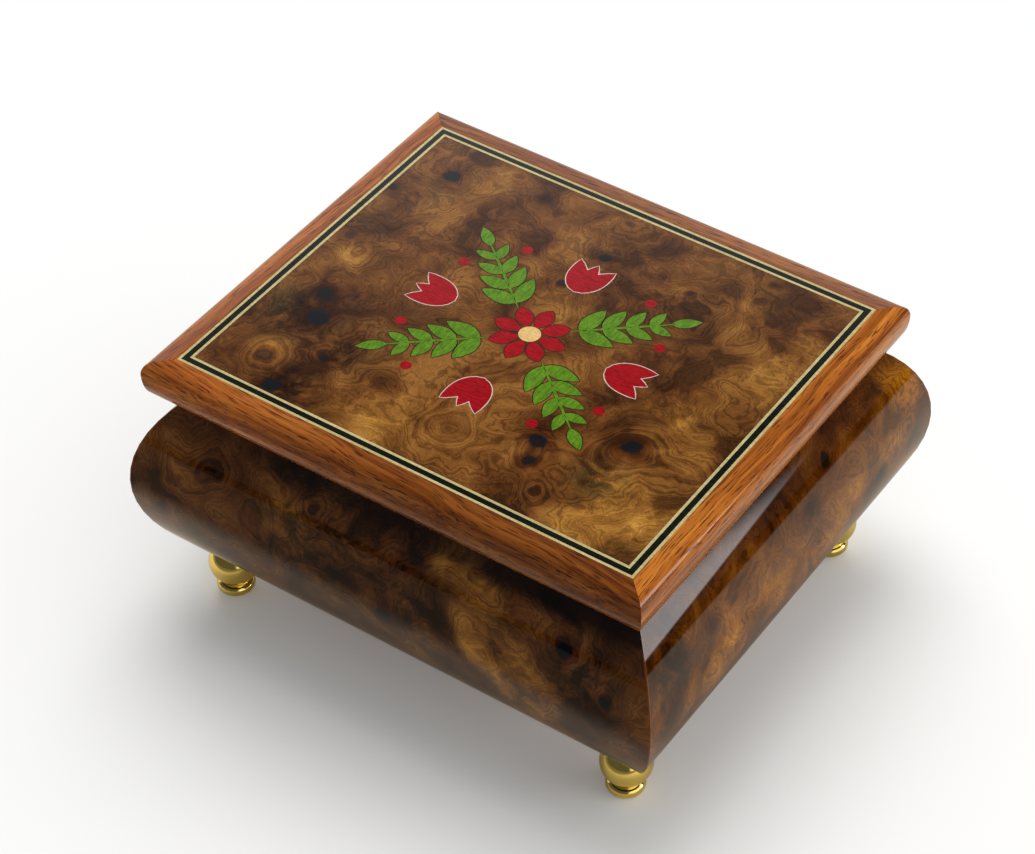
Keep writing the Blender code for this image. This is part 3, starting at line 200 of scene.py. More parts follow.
def turned(name, centre, rings, steps=64):
    """A turned piece: a disc extruded and scaled up through (radius, height) rings."""
    radius, height = rings[0]
    piece = open_disc(name, steps, radius, (*centre, height))
    for next_radius, next_height in rings[1:]:
        extrude_up(next_height - height)
        ratio = next_radius / radius
        middle = [c * MM for c in (*centre, next_height)]
        bpy.ops.transform.resize(value=(ratio, ratio, 1.0), center_override=middle)
        radius, height = next_radius, next_height
    close_shell()
    return piece


def cut_sheet(name, outline, low, high):
    """A flat piece sawn to an outline of (x, y) millimetres and extruded upwards."""
    piece = open_disc(name, len(outline), 10.0, (0.0, 0.0, low))
    mesh = bmesh.from_edit_mesh(piece.data)
    for vert, (x, y) in zip(mesh.verts, outline):
        vert.co.x, vert.co.y = x * MM, y * MM
    bmesh.update_edit_mesh(piece.data)
    extrude_up(high - low)
    close_shell()
    return piece


def joined(name, pieces):
    """Joins several pieces into one."""
    bpy.ops.object.select_all(action="DESELECT")
    for piece in pieces:
        piece.select_set(True)
    bpy.context.view_layer.objects.active = pieces[0]
    if len(pieces) > 1:
        bpy.ops.object.join()
    pieces[0].name = name
    return pieces[0]


# Node trees


def fill(tree, node, inputs):
    """Sets a node's inputs to values or links."""
    for key, value in dict(inputs).items():
        if isinstance(value, bpy.types.NodeSocket):
            tree.links.new(value, node.inputs[key])
        else:
            node.inputs[key].default_value = value


def put(tree, kind, inputs=(), **settings):
    """Adds a node, sets it up and fills its inputs."""
    made = tree.nodes.new(kind)
    for key, value in settings.items():
        setattr(made, key, value)
    fill(tree, made, inputs)
    return made


def maths(tree, operation, a, b=0.0, c=0.0, clamp=False):
    made = put(tree, "ShaderNodeMath", {0: a, 1: b, 2: c}, operation=operation, use_clamp=clamp)
    return made.outputs[0]


def times(tree, *values):
    """The product of several values."""
    result = values[0]
    for value in values[1:]:
        result = maths(tree, "MULTIPLY", result, value)
    return result


def vectors(tree, operation, a, b):
    """Vector maths that gives a vector."""
    return put(tree, "ShaderNodeVectorMath", {0: a, 1: b}, operation=operation).outputs["Vector"]


def measured(tree, operation, a, b=(0.0, 0.0, 0.0)):
    """Vector maths that gives a number."""
    return put(tree, "ShaderNodeVectorMath", {0: a, 1: b}, operation=operation).outputs["Value"]


def mapped(tree, vector, scale=(1.0, 1.0, 1.0), turn=(0.0, 0.0, 0.0)):
    """A vector turned and scaled along each axis."""
    inputs = {"Vector": vector, "Scale": scale, "Rotation": turn}
    return put(tree, "ShaderNodeMapping", inputs).outputs[0]


def axes(tree, vector):
    return put(tree, "ShaderNodeSeparateXYZ", {0: vector}).outputs


def noise(tree, vector, scale, detail=2.0, roughness=0.5, colour=False):
    """3-D noise; the scale is in features per unit of the vector."""
    inputs = {"Vector": vector, "Scale": scale, "Detail": detail, "Roughness": roughness}
    return put(tree, "ShaderNodeTexNoise", inputs).outputs[1 if colour else 0]


def line_noise(tree, along, scale, detail=2.0, roughness=0.5):
    """Noise that changes with one number alone."""
    inputs = {"W": along, "Scale": scale, "Detail": detail, "Roughness": roughness}
    return put(tree, "ShaderNodeTexNoise", inputs, noise_dimensions="1D").outputs[0]


def eased(tree, value, low, high, to_low=0.0, to_high=1.0):
    """Smooth step of a value between two ends."""
    inputs = {0: value, 1: low, 2: high, 3: to_low, 4: to_high}
    return put(tree, "ShaderNodeMapRange", inputs, interpolation_type="SMOOTHSTEP").outputs[0]


def ramp(tree, value, stops):
    """Colours along a value; stops are (place, (r, g, b)) pairs."""
    made = put(tree, "ShaderNodeValToRGB", {0: value})
    marks = made.color_ramp.elements
    while len(marks) < len(stops):
        marks.new(0.5)
    for mark, (at, colour) in zip(marks, stops):
        mark.position = at
        mark.color = (*colour, 1.0)
    return made.outputs[0]


def mixed(tree, factor, a, b, blend="MIX"):
    """Mixes two colours."""
    a = a if isinstance(a, bpy.types.NodeSocket) else (*a, 1.0)
    b = b if isinstance(b, bpy.types.NodeSocket) else (*b, 1.0)
    inputs = {0: factor, 6: a, 7: b}
    return put(tree, "ShaderNodeMix", inputs, data_type="RGBA", blend_type=blend).outputs[2]


def tinted(tree, colour, tone):
    """A colour multiplied by another."""
    return mixed(tree, 1.0, colour, tone, "MULTIPLY")


def shaded(tree, colour, value):
    """A colour multiplied by a number."""
    grey = put(tree, "ShaderNodeCombineColor", {0: value, 1: value, 2: value}).outputs[0]
    return tinted(tree, colour, grey)


# What kind of socket a group's inputs and outputs are; all others are numbers
SOCKETS = {"Vector": "Vector", "Centre": "Vector", "Color": "Color"}


def effect(name, inputs, outputs):
    """Starts a shader node group with sockets of these names; gives its tree, inputs and end."""
    tree = bpy.data.node_groups.new(name, "ShaderNodeTree")
    for way, labels in (("INPUT", inputs), ("OUTPUT", outputs)):
        for label in labels:
            kind = "NodeSocket" + SOCKETS.get(label, "Float")
            tree.interface.new_socket(label, in_out=way, socket_type=kind)
    given = tree.nodes.new("NodeGroupInput").outputs
    return tree, given[: len(inputs)], tree.nodes.new("NodeGroupOutput")


def use(tree, group, inputs=()):
    """Places a node group in a tree."""
    return put(tree, "ShaderNodeGroup", inputs, node_tree=bpy.data.node_groups[group]).outputs


def new_material(name):
    """A material with its Principled shader, and Object coordinates in millimetres."""
    made = bpy.data.materials.new(name)
    made.use_nodes = True
    tree = made.node_tree
    where = put(tree, "ShaderNodeTexCoord").outputs["Object"]
    return made, tree, tree.nodes["Principled BSDF"], mapped(tree, where, (1 / MM,) * 3)


def bumped(tree, shader, height, strength, distance):
    """Feeds a height through a Bump node to a shader's normal; the distance is in millimetres."""
    inputs = {"Height": height, "Strength": strength, "Distance": distance * MM}
    fill(tree, shader, {"Normal": put(tree, "ShaderNodeBump", inputs).outputs[0]})


def lacquered(tree, shader, colour):
    """Gives a wood its colour, under a thick clear lacquer."""
    coat = {"Coat Weight": 1.0, "Coat Roughness": 0.025, "Coat IOR": 1.43}
    fill(tree, shader, {"Base Color": colour, "Roughness": 0.45, "Specular IOR Level": 0.0, **coat})


# The figures of the woods, metals and cloth


EYE_STATE = ("Flow", "Dark", "Halo")  # what each eye adds to what the eyes before it gave


def make_wood_eye():
    """An eye in the burl: rings of grain crowd round it, and its heart is dark."""
    inputs = ("Vector", "Centre", "Size", "Rings", "Heart", *EYE_STATE)
    tree, given, end = effect("wood_eye", inputs, EYE_STATE)
    vector, centre, size, rings, heart, flow, dark, halo = given
    reach = maths(tree, "DIVIDE", measured(tree, "DISTANCE", vector, centre), size)
    swell = maths(tree, "POWER", math.e, times(tree, reach, reach, -0.16))
    flow = maths(tree, "MULTIPLY_ADD", swell, rings, flow)
    dark = maths(tree, "MAXIMUM", times(tree, eased(tree, reach, 1.05, 0.62), heart), dark)
    halo = maths(tree, "MAXIMUM", times(tree, eased(tree, reach, 2.4, 0.8), heart), halo)
    fill(tree, end, {"Flow": flow, "Dark": dark, "Halo": halo})


def make_burl_figure():
    """Burl grain: soft mottling under curls and fine fibres that follow a swirling field."""
    inputs = ("Vector", *EYE_STATE, "Gold", "Smoke")
    tree, given, end = effect("burl_figure", inputs, ("Color",))
    vector, flow, dark, halo, gold, smoke = given

    # The grain's lines are the levels of a field that swirls once in 27 mm and is ragged at 3 mm
    broad = noise(tree, vector, 1 / 27, 2.5, 0.42)
    level = maths(tree, "MULTIPLY_ADD", broad, 13.0, flow)
    ragged = noise(tree, vector, 1 / 3.0, 4.0, 0.6)
    level = maths(tree, "MULTIPLY_ADD", ragged, 0.8, level)
    curl = line_noise(tree, level, 0.8, 3.0, 0.6)
    fibre = line_noise(tree, level, 5.5, 3.0, 0.65)

    mottle = noise(tree, vector, 1 / 15, 3.5, 0.55)
    tone = maths(tree, "MULTIPLY_ADD", mottle, 0.68, times(tree, curl, 0.32))
    browns = (
        (0.40, (0.042, 0.014, 0.004)),
        (0.45, (0.086, 0.029, 0.007)),
        (0.50, (0.125, 0.044, 0.010)),
        (0.55, (0.168, 0.064, 0.014)),
        (0.62, (0.245, 0.102, 0.022)),
    )
    colour = ramp(tree, tone, browns)
    colour = shaded(tree, colour, eased(tree, fibre, 0.34, 0.60, 0.68, 1.12))
    speck = noise(tree, vector, 1 / 0.7, 2.0, 0.65)
    colour = shaded(tree, colour, eased(tree, speck, 0.3, 0.7, 0.86, 1.12))

    # Gold brightens the wood, smoke veils it in clouds of 7 mm, and the eyes darken it
    colour = mixed(tree, gold, colour, tinted(tree, colour, (2.4, 2.9, 2.3)))
    cloud = noise(tree, vector, 1 / 7, 3.0, 0.6)
    veil = maths(tree, "MULTIPLY", smoke, eased(tree, cloud, 0.36, 0.58), clamp=True)
    colour = mixed(tree, veil, colour, tinted(tree, colour, (0.16, 0.22, 0.36)))
    colour = mixed(tree, times(tree, halo, 0.7), colour, (0.50, 0.30, 0.24), "MULTIPLY")
    colour = mixed(tree, dark, colour, (0.006, 0.008, 0.010))
    fill(tree, end, {"Color": colour})


def make_straight_grain():
    """Straight grain along the vector's X, with short dark open pores."""
    inputs, outputs = ("Vector", "Seed"), ("Tone", "Pore", "Stripe")
    tree, (vector, seed), end = effect("straight_grain", inputs, outputs)
    sway = times(tree, noise(tree, vector, 1 / 30, 1.0), 5.0)
    offset = put(tree, "ShaderNodeCombineXYZ", {0: seed, 1: sway, 2: seed}).outputs[0]
    moved = vectors(tree, "ADD", vector, offset)
    tone = noise(tree, mapped(tree, moved, (0.018, 0.55, 0.55)), 1.0, 3.0, 0.6)
    pore = eased(tree, noise(tree, mapped(tree, moved, (0.16, 2.6, 2.6)), 1.0), 0.55, 0.65)
    stripe = eased(tree, noise(tree, mapped(tree, moved, (0.01, 1.3, 1.3)), 1.0), 0.56, 0.7)
    fill(tree, end, {"Tone": tone, "Pore": pore, "Stripe": stripe})


def make_metal_wear():
    """Handling marks on metal: cloudy patches and fine scratches."""
    inputs, outputs = ("Vector", "Size"), ("Cloud", "Scratch")
    tree, (vector, size), end = effect("metal_wear", inputs, outputs)
    sized = put(tree, "ShaderNodeVectorMath", {0: vector, 3: size}, operation="SCALE").outputs[0]
    cloud = noise(tree, sized, 0.5, 4.0, 0.6)
    drawn = mapped(tree, sized, (0.5, 9.0, 9.0), (0.4, 0.7, 0.3))
    fill(tree, end, {"Cloud": cloud, "Scratch": eased(tree, noise(tree, drawn, 1.0), 0.6, 0.75)})


def make_pile():
    """The short pile of velvet: soft brushed patches over fine tufts."""
    tree, (vector,), end = effect("pile", ("Vector",), ("Brushed", "Tuft"))
    brushed, tuft = noise(tree, vector, 1 / 14, 3.0, 0.55), noise(tree, vector, 3.2, 2.0, 0.7)
    fill(tree, end, {"Brushed": brushed, "Tuft": tuft})


# The burl of the lid and of the body's four sides


# All in millimetres; on the lid, places are measured from the middle of its top
EYES = {  # x, y, z, size, rings of grain round it, and how dark its heart is
    "lid": (
        (-52.9, 41.1, 0.0, 3.0, 2.4, 1.0),
        (-63.2, 28.5, 0.0, 1.7, 1.6, 0.8),
        (-60.5, 6.0, 0.0, 2.2, 1.6, 0.55),
        (-47.8, -25.0, 0.0, 3.4, 1.5, 1.0),
        (-52.0, -16.5, 0.0, 2.6, 1.5, 0.9),
        (-50.3, -43.7, 0.0, 2.6, 4.2, 0.6),
        (-37.2, -36.2, 0.0, 1.9, 3.2, 0.8),
        (-42.6, -51.5, 0.0, 2.8, 1.5, 0.95),
        (-4.4, 21.8, 0.0, 1.8, 3.0, 0.7),
        (-0.6, 35.5, 0.0, 2.2, 1.5, 0.9),
        (-26.4, 47.3, 0.0, 1.4, 2.0, 0.6),
        (25.1, 36.1, 0.0, 1.3, 2.0, 0.7),
        (41.1, 50.5, 0.0, 1.0, 2.0, 0.5),
        (43.4, -20.4, 0.0, 2.9, 4.4, 0.95),
        (23.2, -31.1, 0.0, 2.9, 2.0, 0.95),
        (25.5, -38.0, 0.0, 2.2, 1.6, 0.9),
        (3.0, -40.0, 0.0, 1.8, 4.4, 0.15),
        (32.0, -46.0, 0.0, 1.0, 2.0, 0.6),
    ),
    "front": (
        (1.5, -68.9, 41.9, 3.2, 2.0, 0.95),
        (52.6, -66.0, 58.3, 2.8, 4.0, 1.0),
        (66.1, -68.3, 50.2, 1.7, 2.0, 1.0),
        (-69.5, -68.8, 40.1, 1.8, 2.5, 0.9),
        (-22.8, -64.7, 61.4, 1.7, 3.0, 0.5),
        (-52.0, -66.0, 58.5, 2.4, 4.0, 0.6),
        (-30.0, -68.0, 46.5, 1.6, 3.5, 0.2),
        (8.0, -64.5, 62.5, 3.0, 1.5, 0.8),
        (30.0, -65.0, 35.5, 2.0, 3.0, 0.3),
    ),
    "right": (
        (73.7, 20.7, 63.4, 2.6, 3.0, 0.9),
        (79.1, 41.6, 43.4, 3.0, 2.5, 0.9),
        (78.7, 56.6, 49.3, 1.6, 2.5, 0.6),
        (76.9, 8.7, 56.4, 1.6, 2.5, 0.7),
        (77.6, -41.9, 44.3, 2.0, 3.5, 0.2),
        (76.0, -14.0, 32.5, 2.2, 3.0, 0.5),
        (76.0, 30.0, 30.5, 1.8, 2.5, 0.8),
    ),
    "back": (
        (-40.0, 68.9, 47.5, 3.0, 2.5, 0.95),
        (12.0, 68.0, 38.5, 2.2, 4.0, 0.7),
        (48.0, 67.0, 57.5, 2.8, 2.5, 1.0),
        (-8.0, 66.0, 60.5, 1.6, 2.0, 0.5),
        (62.0, 67.0, 32.5, 1.8, 2.5, 0.6),
        (-64.0, 66.0, 30.5, 1.7, 2.5, 0.8),
    ),
    "left": (
        (-78.9, -30.0, 48.5, 2.8, 3.0, 0.9),
        (-77.0, 18.0, 57.5, 2.0, 3.0, 0.8),
        (-78.0, 44.0, 38.5, 3.0, 2.5, 1.0),
        (-75.0, -4.0, 29.5, 1.8, 3.5, 0.4),
        (-76.5, -56.0, 57.5, 1.6, 2.0, 0.7),
    ),
}
GOLD = {  # patches of bright wood: x, y, z, size and strength
    "lid": (
        (56.0, -43.0, 0.0, 24.0, 0.85),
        (52.0, -10.0, 0.0, 18.0, 0.4),
        (-12.0, -46.0, 0.0, 14.0, 0.4),
        (54.0, 18.0, 0.0, 24.0, 0.32),
        (38.0, 42.0, 0.0, 20.0, 0.28),
        (4.0, 10.0, 0.0, 14.0, 0.3),
        (-56.0, -2.0, 0.0, 10.0, 0.35),
        (-44.0, 46.0, 0.0, 12.0, 0.4),
        (-50.0, -42.0, 0.0, 8.0, 0.5),
    ),
    "front": (
        (19.0, -63.0, 64.5, 11.0, 1.1),
        (26.0, -66.0, 57.5, 12.0, 1.5),
        (34.0, -68.0, 48.5, 13.0, 2.1),
        (43.0, -68.0, 40.0, 14.0, 2.0),
        (-28.0, -68.0, 54.5, 11.0, 0.35),
        (-8.0, -66.0, 38.5, 12.0, 0.3),
    ),
    "right": (
        (79.0, -45.0, 41.0, 14.0, 0.9),
        (78.0, -30.0, 51.0, 10.0, 1.2),
        (79.0, -16.0, 42.0, 22.0, 0.85),
        (78.0, 14.0, 38.0, 22.0, 0.9),
        (79.0, 36.0, 48.0, 16.0, 0.8),
        (77.0, 56.0, 58.0, 17.0, 1.4),
    ),
    "back": ((0.0, 68.0, 52.5, 16.0, 0.5), (40.0, 68.0, 34.5, 13.0, 0.4)),
    "left": ((-78.0, 0.0, 44.5, 16.0, 0.5), (-76.0, -44.0, 32.5, 12.0, 0.4)),
}
SMOKE = {  # patches of dark wood: x, y, z, size and strength
    "lid": (
        (-55.0, -26.0, 0.0, 17.0, 0.95),
        (-38.0, -50.0, 0.0, 15.0, 0.85),
        (-38.0, -28.0, 0.0, 20.0, 0.75),
        (42.0, -34.0, 0.0, 12.0, 0.85),
        (-60.0, 12.0, 0.0, 12.0, 0.6),
        (-54.0, 40.0, 0.0, 8.0, 0.7),
        (-30.0, -14.0, 0.0, 18.0, 0.45),
        (-54.0, 26.0, 0.0, 12.0, 0.5),
        (22.0, -34.0, 0.0, 9.0, 0.6),
        (-2.0, 34.0, 0.0, 9.0, 0.6),
    ),
    "front": (
        (-20.0, -66.0, 60.0, 32.0, 0.8),
        (10.0, -66.0, 48.0, 18.0, 0.8),
        (60.0, -66.0, 52.0, 18.0, 1.0),
    ),
    "right": (
        (79.0, 41.0, 44.0, 8.0, 0.6),
        (77.0, -56.0, 60.0, 16.0, 0.9),
        (74.0, -52.0, 63.0, 9.0, 1.1),
    ),
    "back": ((-42.0, 68.0, 46.0, 14.0, 0.7), (30.0, 68.0, 52.0, 14.0, 0.4)),
    "left": ((-78.0, 40.0, 38.0, 14.0, 0.7), (-78.0, -30.0, 50.0, 12.0, 0.5)),
}
VENEER_FROM = {  # which stretch of the endless figure each sheet of veneer is cut from
    "lid": (31.0, 12.0, 5.0),
    "front": (7.0, 55.0, 80.0),
    "right": (90.0, 14.0, 33.0),
    "back": (41.0, 120.0, 9.0),
    "left": (150.0, 70.0, 60.0),
}
# Each side's tone: partly the veneer's own, partly painted light and shade for how brightly that side is
# lit
VENEER_TONE_AND_SHADE = {
    "lid": (1.0, 1.0, 1.0),
    "front": (0.66, 0.60, 0.60),
    "right": (0.66, 0.49, 0.18),
    "back": (0.76, 0.66, 0.6),
    "left": (0.76, 0.66, 0.6),
}


def warped(tree, vector, feature, reach, detail=2.0):
    """The vector pushed about by noise, in millimetres."""
    push = noise(tree, vector, 1 / feature, detail, 0.55, colour=True)
    inputs = {0: vectors(tree, "SUBTRACT", push, (0.5,) * 3), 1: (reach,) * 3, 2: vector}
    return put(tree, "ShaderNodeVectorMath", inputs, operation="MULTIPLY_ADD").outputs[0]


def patches(tree, vector, spots):
    """How strongly a point lies in the nearest of some round patches."""
    amount = 0.0
    for *centre, size, share in spots:
        away = measured(tree, "DISTANCE", vector, centre)
        amount = maths(tree, "MAXIMUM", eased(tree, away, size, size * 0.2, 0.0, share), amount)
    return amount


def burl_veneer(side):
    """The lacquered burl of the lid or of one of the body's sides."""
    made, tree, shader, where = new_material(f"{side} burl")
    on_lid = side == "lid"
    placed = vectors(tree, "SUBTRACT", where, (LID_X, 0.0, LID_TOP)) if on_lid else where
    soft = warped(tree, placed, 7.0, 3.2, 3.0)
    state = dict.fromkeys(EYE_STATE, 0.0)
    for *centre, size, rings, heart in EYES[side]:
        inputs = {"Vector": soft, "Centre": centre, "Size": size, "Rings": rings, "Heart": heart}
        made_eye = use(tree, "wood_eye", {**inputs, **state})
        state = {name: made_eye[name] for name in state}
    gold, smoke = patches(tree, soft, GOLD[side]), patches(tree, soft, SMOKE[side])
    moved = vectors(tree, "ADD", placed, VENEER_FROM[side])
    swirled = warped(tree, warped(tree, moved, 24.0, 16.0), 8.0, 4.5)
    inputs = {"Vector": swirled, "Gold": gold, "Smoke": smoke, **state}
    # The side's tone, partly painted light and shade
    colour = tinted(tree, use(tree, "burl_figure", inputs)["Color"], VENEER_TONE_AND_SHADE[side])
    if not on_lid:
        colour = mitre_line(tree, where, colour)
    if side == "front":
        # The front's top gets a painted shade where the lid overhangs it
        colour = painted_lid_shade(tree, where, colour)
    lacquered(tree, shader, colour)
    return made


def mitre_line(tree, where, colour):
    """The bare edge of the veneer along the body's mitred corners."""
    across, depth = (maths(tree, "ABSOLUTE", axis) for axis in axes(tree, where)[:2])
    away = maths(tree, "SUBTRACT", maths(tree, "SUBTRACT", across, HALF_X - HALF_Y), depth)
    away = maths(tree, "ABSOLUTE", away)
    return mixed(tree, eased(tree, away, 0.5, 0.2, 0.0, 0.7), colour, (0.19, 0.055, 0.014))


def painted_lid_shade(tree, where, colour):
    """Painted shade under the lid along the top of the front, deeper towards its right end."""
    across, _, height = axes(tree, warped(tree, where, 9.0, 3.0))
    high = eased(tree, height, 62.3, 66.3)
    share = times(tree, high, eased(tree, across, -20.0, 36.0, 0.35, 1.0))
    return mixed(tree, share, colour, (0.11, 0.09, 0.11), "MULTIPLY")


# The other materials


ALONG_X, ALONG_Y = 0.0, math.pi / 2  # how far the straight grain is turned


def rosewood(name, turn, tone, seed, left):
    """The lid moulding's lacquered wood, its grain turned to run along one side of the box.

    Towards the box's left a painted light pales the wood, by the factor left.
    """
    made, tree, shader, where = new_material(name)
    inputs = {"Vector": mapped(tree, where, turn=(0.0, 0.0, turn)), "Seed": seed}
    grain = use(tree, "straight_grain", inputs)
    reds = (
        (0.30, (0.130, 0.034, 0.008)),
        (0.45, (0.215, 0.062, 0.012)),
        (0.58, (0.300, 0.096, 0.018)),
        (0.72, (0.380, 0.135, 0.028)),
    )
    colour = ramp(tree, grain["Tone"], reds)
    stripe, pore = times(tree, grain["Stripe"], 0.55), times(tree, grain["Pore"], 0.95)
    colour = mixed(tree, stripe, colour, (0.40, 0.28, 0.22), "MULTIPLY")
    colour = mixed(tree, pore, colour, (0.060, 0.018, 0.010))
    colour = tinted(tree, colour, tone)
    # Painted light: the wood is brighter towards the box's left
    colour = shaded(tree, colour, eased(tree, axes(tree, where)[0], -75.0, 20.0, left, 1.0))
    lacquered(tree, shader, colour)
    return made


def fine_wood(name, dark, light, lacquer=True, cross=(0.02, 0.5, 0.5)):
    """A plain straight-grained wood between two tones; cross is how the grain crowds along each axis."""
    made, tree, shader, where = new_material(name)
    tone = noise(tree, mapped(tree, where, cross), 2.0, 4.0, 0.6)
    fleck = noise(tree, where, 1.7)
    colour = ramp(tree, tone, ((0.32, dark), (0.66, light)))
    colour = shaded(tree, colour, eased(tree, fleck, 0.35, 0.65, 0.9, 1.08))
    if lacquer:
        lacquered(tree, shader, colour)
    else:
        fill(tree, shader, {"Base Color": colour, "Roughness": 0.55})
        bumped(tree, shader, tone, 0.25, 0.1)
    return made


def metallic(tree, shader, colour, roughness):
    fill(tree, shader, {"Base Color": colour, "Roughness": roughness, "Metallic": 1.0})


def brass(name, colour, roughness, wear):
    """Brass with a little tarnish and wear from handling."""
    made, tree, shader, where = new_material(name)
    marks = use(tree, "metal_wear", {"Vector": where, "Size": 1.0})
    dull = tuple(c * s for c, s in zip(colour, (0.82, 0.74, 0.6)))
    tint = mixed(tree, eased(tree, marks["Cloud"], 0.45, 0.7, 0.0, wear), colour, dull)
    rough = maths(tree, "MULTIPLY_ADD", marks["Cloud"], roughness * 0.6, roughness * 0.7)
    rough = maths(tree, "MULTIPLY_ADD", marks["Scratch"], 0.12 * wear, rough)
    metallic(tree, shader, tint, rough)
    bumped(tree, shader, marks["Scratch"], 0.05 * wear, 0.02)
    return made


def bright_steel(name, roughness, stroke):
    """Ground steel; stroke is how the grinding lines crowd along each axis."""
    made, tree, shader, where = new_material(name)
    lines = noise(tree, mapped(tree, where, stroke), 1.0, 2.0, 0.6)
    marks = use(tree, "metal_wear", {"Vector": where, "Size": 1.6})
    tint = shaded(tree, (0.52, 0.52, 0.53), eased(tree, lines, 0.3, 0.7, 0.86, 1.0))
    metallic(tree, shader, tint, maths(tree, "MULTIPLY_ADD", marks["Cloud"], 0.15, roughness))
    bumped(tree, shader, lines, 0.12, 0.03)
    return made


def cast_zinc():
    made, tree, shader, where = new_material("cast zinc")
    grain = noise(tree, where, 2.2, 3.0, 0.65)
    cloud = noise(tree, where, 0.12, 3.0, 0.5)
    colour = ramp(tree, cloud, ((0.35, (0.38, 0.38, 0.37)), (0.65, (0.52, 0.52, 0.51))))
    metallic(tree, shader, colour, eased(tree, grain, 0.3, 0.7, 0.36, 0.56))
    bumped(tree, shader, grain, 0.3, 0.06)
    return made


def velvet():
    made, tree, shader, where = new_material("red velvet")
    pile = use(tree, "pile", {"Vector": where})
    reds = ((0.35, (0.10, 0.004, 0.008)), (0.65, (0.21, 0.012, 0.018)))
    colour = ramp(tree, pile["Brushed"], reds)
    colour = shaded(tree, colour, eased(tree, pile["Tuft"], 0.3, 0.7, 0.7, 1.2))
    fill(tree, shader, {"Base Color": colour, "Roughness": 0.95, "Specular IOR Level": 0.15})
    sheen = {"Sheen Weight": 0.5, "Sheen Roughness": 0.4, "Sheen Tint": (0.9, 0.35, 0.35, 1.0)}
    fill(tree, shader, sheen)
    bumped(tree, shader, pile["Tuft"], 0.6, 0.15)
    return made


def moulded_plastic():
    made, tree, shader, where = new_material("moulded plastic")
    skin = noise(tree, where, 1.5)
    cloud = noise(tree, where, 0.3)
    colour = ramp(tree, cloud, ((0.35, (0.72, 0.69, 0.60)), (0.65, (0.80, 0.78, 0.70))))
    fill(tree, shader, {"Base Color": colour, "Roughness": eased(tree, skin, 0.3, 0.7, 0.32, 0.42)})
    bumped(tree, shader, skin, 0.08, 0.03)
    return made


def clear_plastic():
    """Clear plastic that lets the light through to what is under it."""
    made, tree, shader, where = new_material("clear plastic")
    smear = eased(tree, noise(tree, where, 0.09, 3.0, 0.6), 0.35, 0.7, 0.03, 0.10)
    fill(tree, shader, {"Base Color": (0.96, 0.98, 0.97, 1.0), "Roughness": smear})
    fill(tree, shader, {"Transmission Weight": 1.0, "IOR": 1.49})
    path = tree.nodes.new("ShaderNodeLightPath").outputs
    lights = maths(tree, "MAXIMUM", path["Is Shadow Ray"], path["Is Diffuse Ray"])
    through = put(tree, "ShaderNodeBsdfTransparent", {"Color": (0.95, 0.96, 0.95, 1.0)}).outputs[0]
    both = put(tree, "ShaderNodeMixShader", {0: lights, 1: shader.outputs[0], 2: through})
    tree.links.new(both.outputs[0], tree.nodes["Material Output"].inputs[0])
    return made


def make_looks():
    """Every material, by its own name, by the slot it fills or by the one node it is for."""
    make_wood_eye()
    make_burl_figure()
    make_straight_grain()
    make_metal_wear()
    make_pile()
    looks = {f"{side}_burl": burl_veneer(side) for side in ("lid", "front", "right", "back", "left")}
    # Each side's tone is partly the wood's own and partly painted light and shade for how that side is
    # lit; the last number, above 1 on the front alone, is the painted light at its left end
    for side, turn, tone, seed, left in (
        ("front", ALONG_X + 0.10, (0.69, 0.64, 0.60), 3.0, 2.0),
        ("back", ALONG_X - 0.04, (0.86, 0.84, 0.84), 47.0, 1.0),
        ("right", ALONG_Y, (1.45, 1.4, 1.0), 90.0, 1.0),
        ("left", ALONG_Y + 0.04, (1.24, 1.10, 0.80), 140.0, 1.0),
    ):
        looks[f"rosewood_{side}"] = rosewood(f"{side} rosewood", turn, tone, seed, left)
    green, dark_green = (0.115, 0.250, 0.014), (0.060, 0.140, 0.008)
    red, dark_red = (0.36, 0.006, 0.012), (0.21, 0.003, 0.006)
    looks.update(
        {
            "cream": fine_wood("cream line wood", (0.42, 0.35, 0.15), (0.53, 0.46, 0.23)),
            "ebony": fine_wood("black line wood", (0.004, 0.005, 0.003), (0.010, 0.012, 0.008)),
            "red": fine_wood("red inlay wood", dark_red, red, cross=(0.2, 0.9, 0.5)),
            "green": fine_wood("green inlay wood", dark_green, green, cross=(0.7, 0.2, 0.5)),
            "yellow": fine_wood("yellow inlay wood", (0.55, 0.34, 0.12), (0.72, 0.50, 0.20)),
            "pale": fine_wood("pale inlay wood", (0.52, 0.40, 0.34), (0.66, 0.54, 0.46)),
            "scorched": fine_wood("scorched inlay edge", (0.018, 0.010, 0.005), (0.045, 0.025, 0.012)),
            "plain_wood": fine_wood("plain wood", (0.34, 0.19, 0.09), (0.48, 0.30, 0.15), lacquer=False),
            "velvet": velvet(),
            "polished_brass": brass("polished brass", (1.0, 0.78, 0.22), 0.12, 0.3),
            "gear_brass": brass("gear brass", (0.78, 0.58, 0.24), 0.22, 0.5),
            "cast_zinc": cast_zinc(),
            "steel": bright_steel("bright steel", 0.14, (1.2, 6.0, 1.2)),
            "comb": bright_steel("comb steel", 0.16, (0.4, 7.0, 7.0)),
            "pale_plastic": moulded_plastic(),
            "clear_plastic": clear_plastic(),
        }
    )
    return looks


# The box


SIDES = {"front": (0, -1), "back": (0, 1), "left": (-1, 0), "right": (1, 0)}
LONG_AXIS = {"front": 0, "back": 0, "left": 1, "right": 1}  # which axis each side runs along


def along_side(side, point, middle=0.0):
    """How far a point is along a side and out from the stringing, and the side's half, in mm."""
    x, y = point.x / MM - middle, point.y / MM
    if LONG_AXIS[side] == 0:
        return x, abs(y) - HALF_Y, HALF_X
    return y, abs(x) - HALF_X, HALF_Y


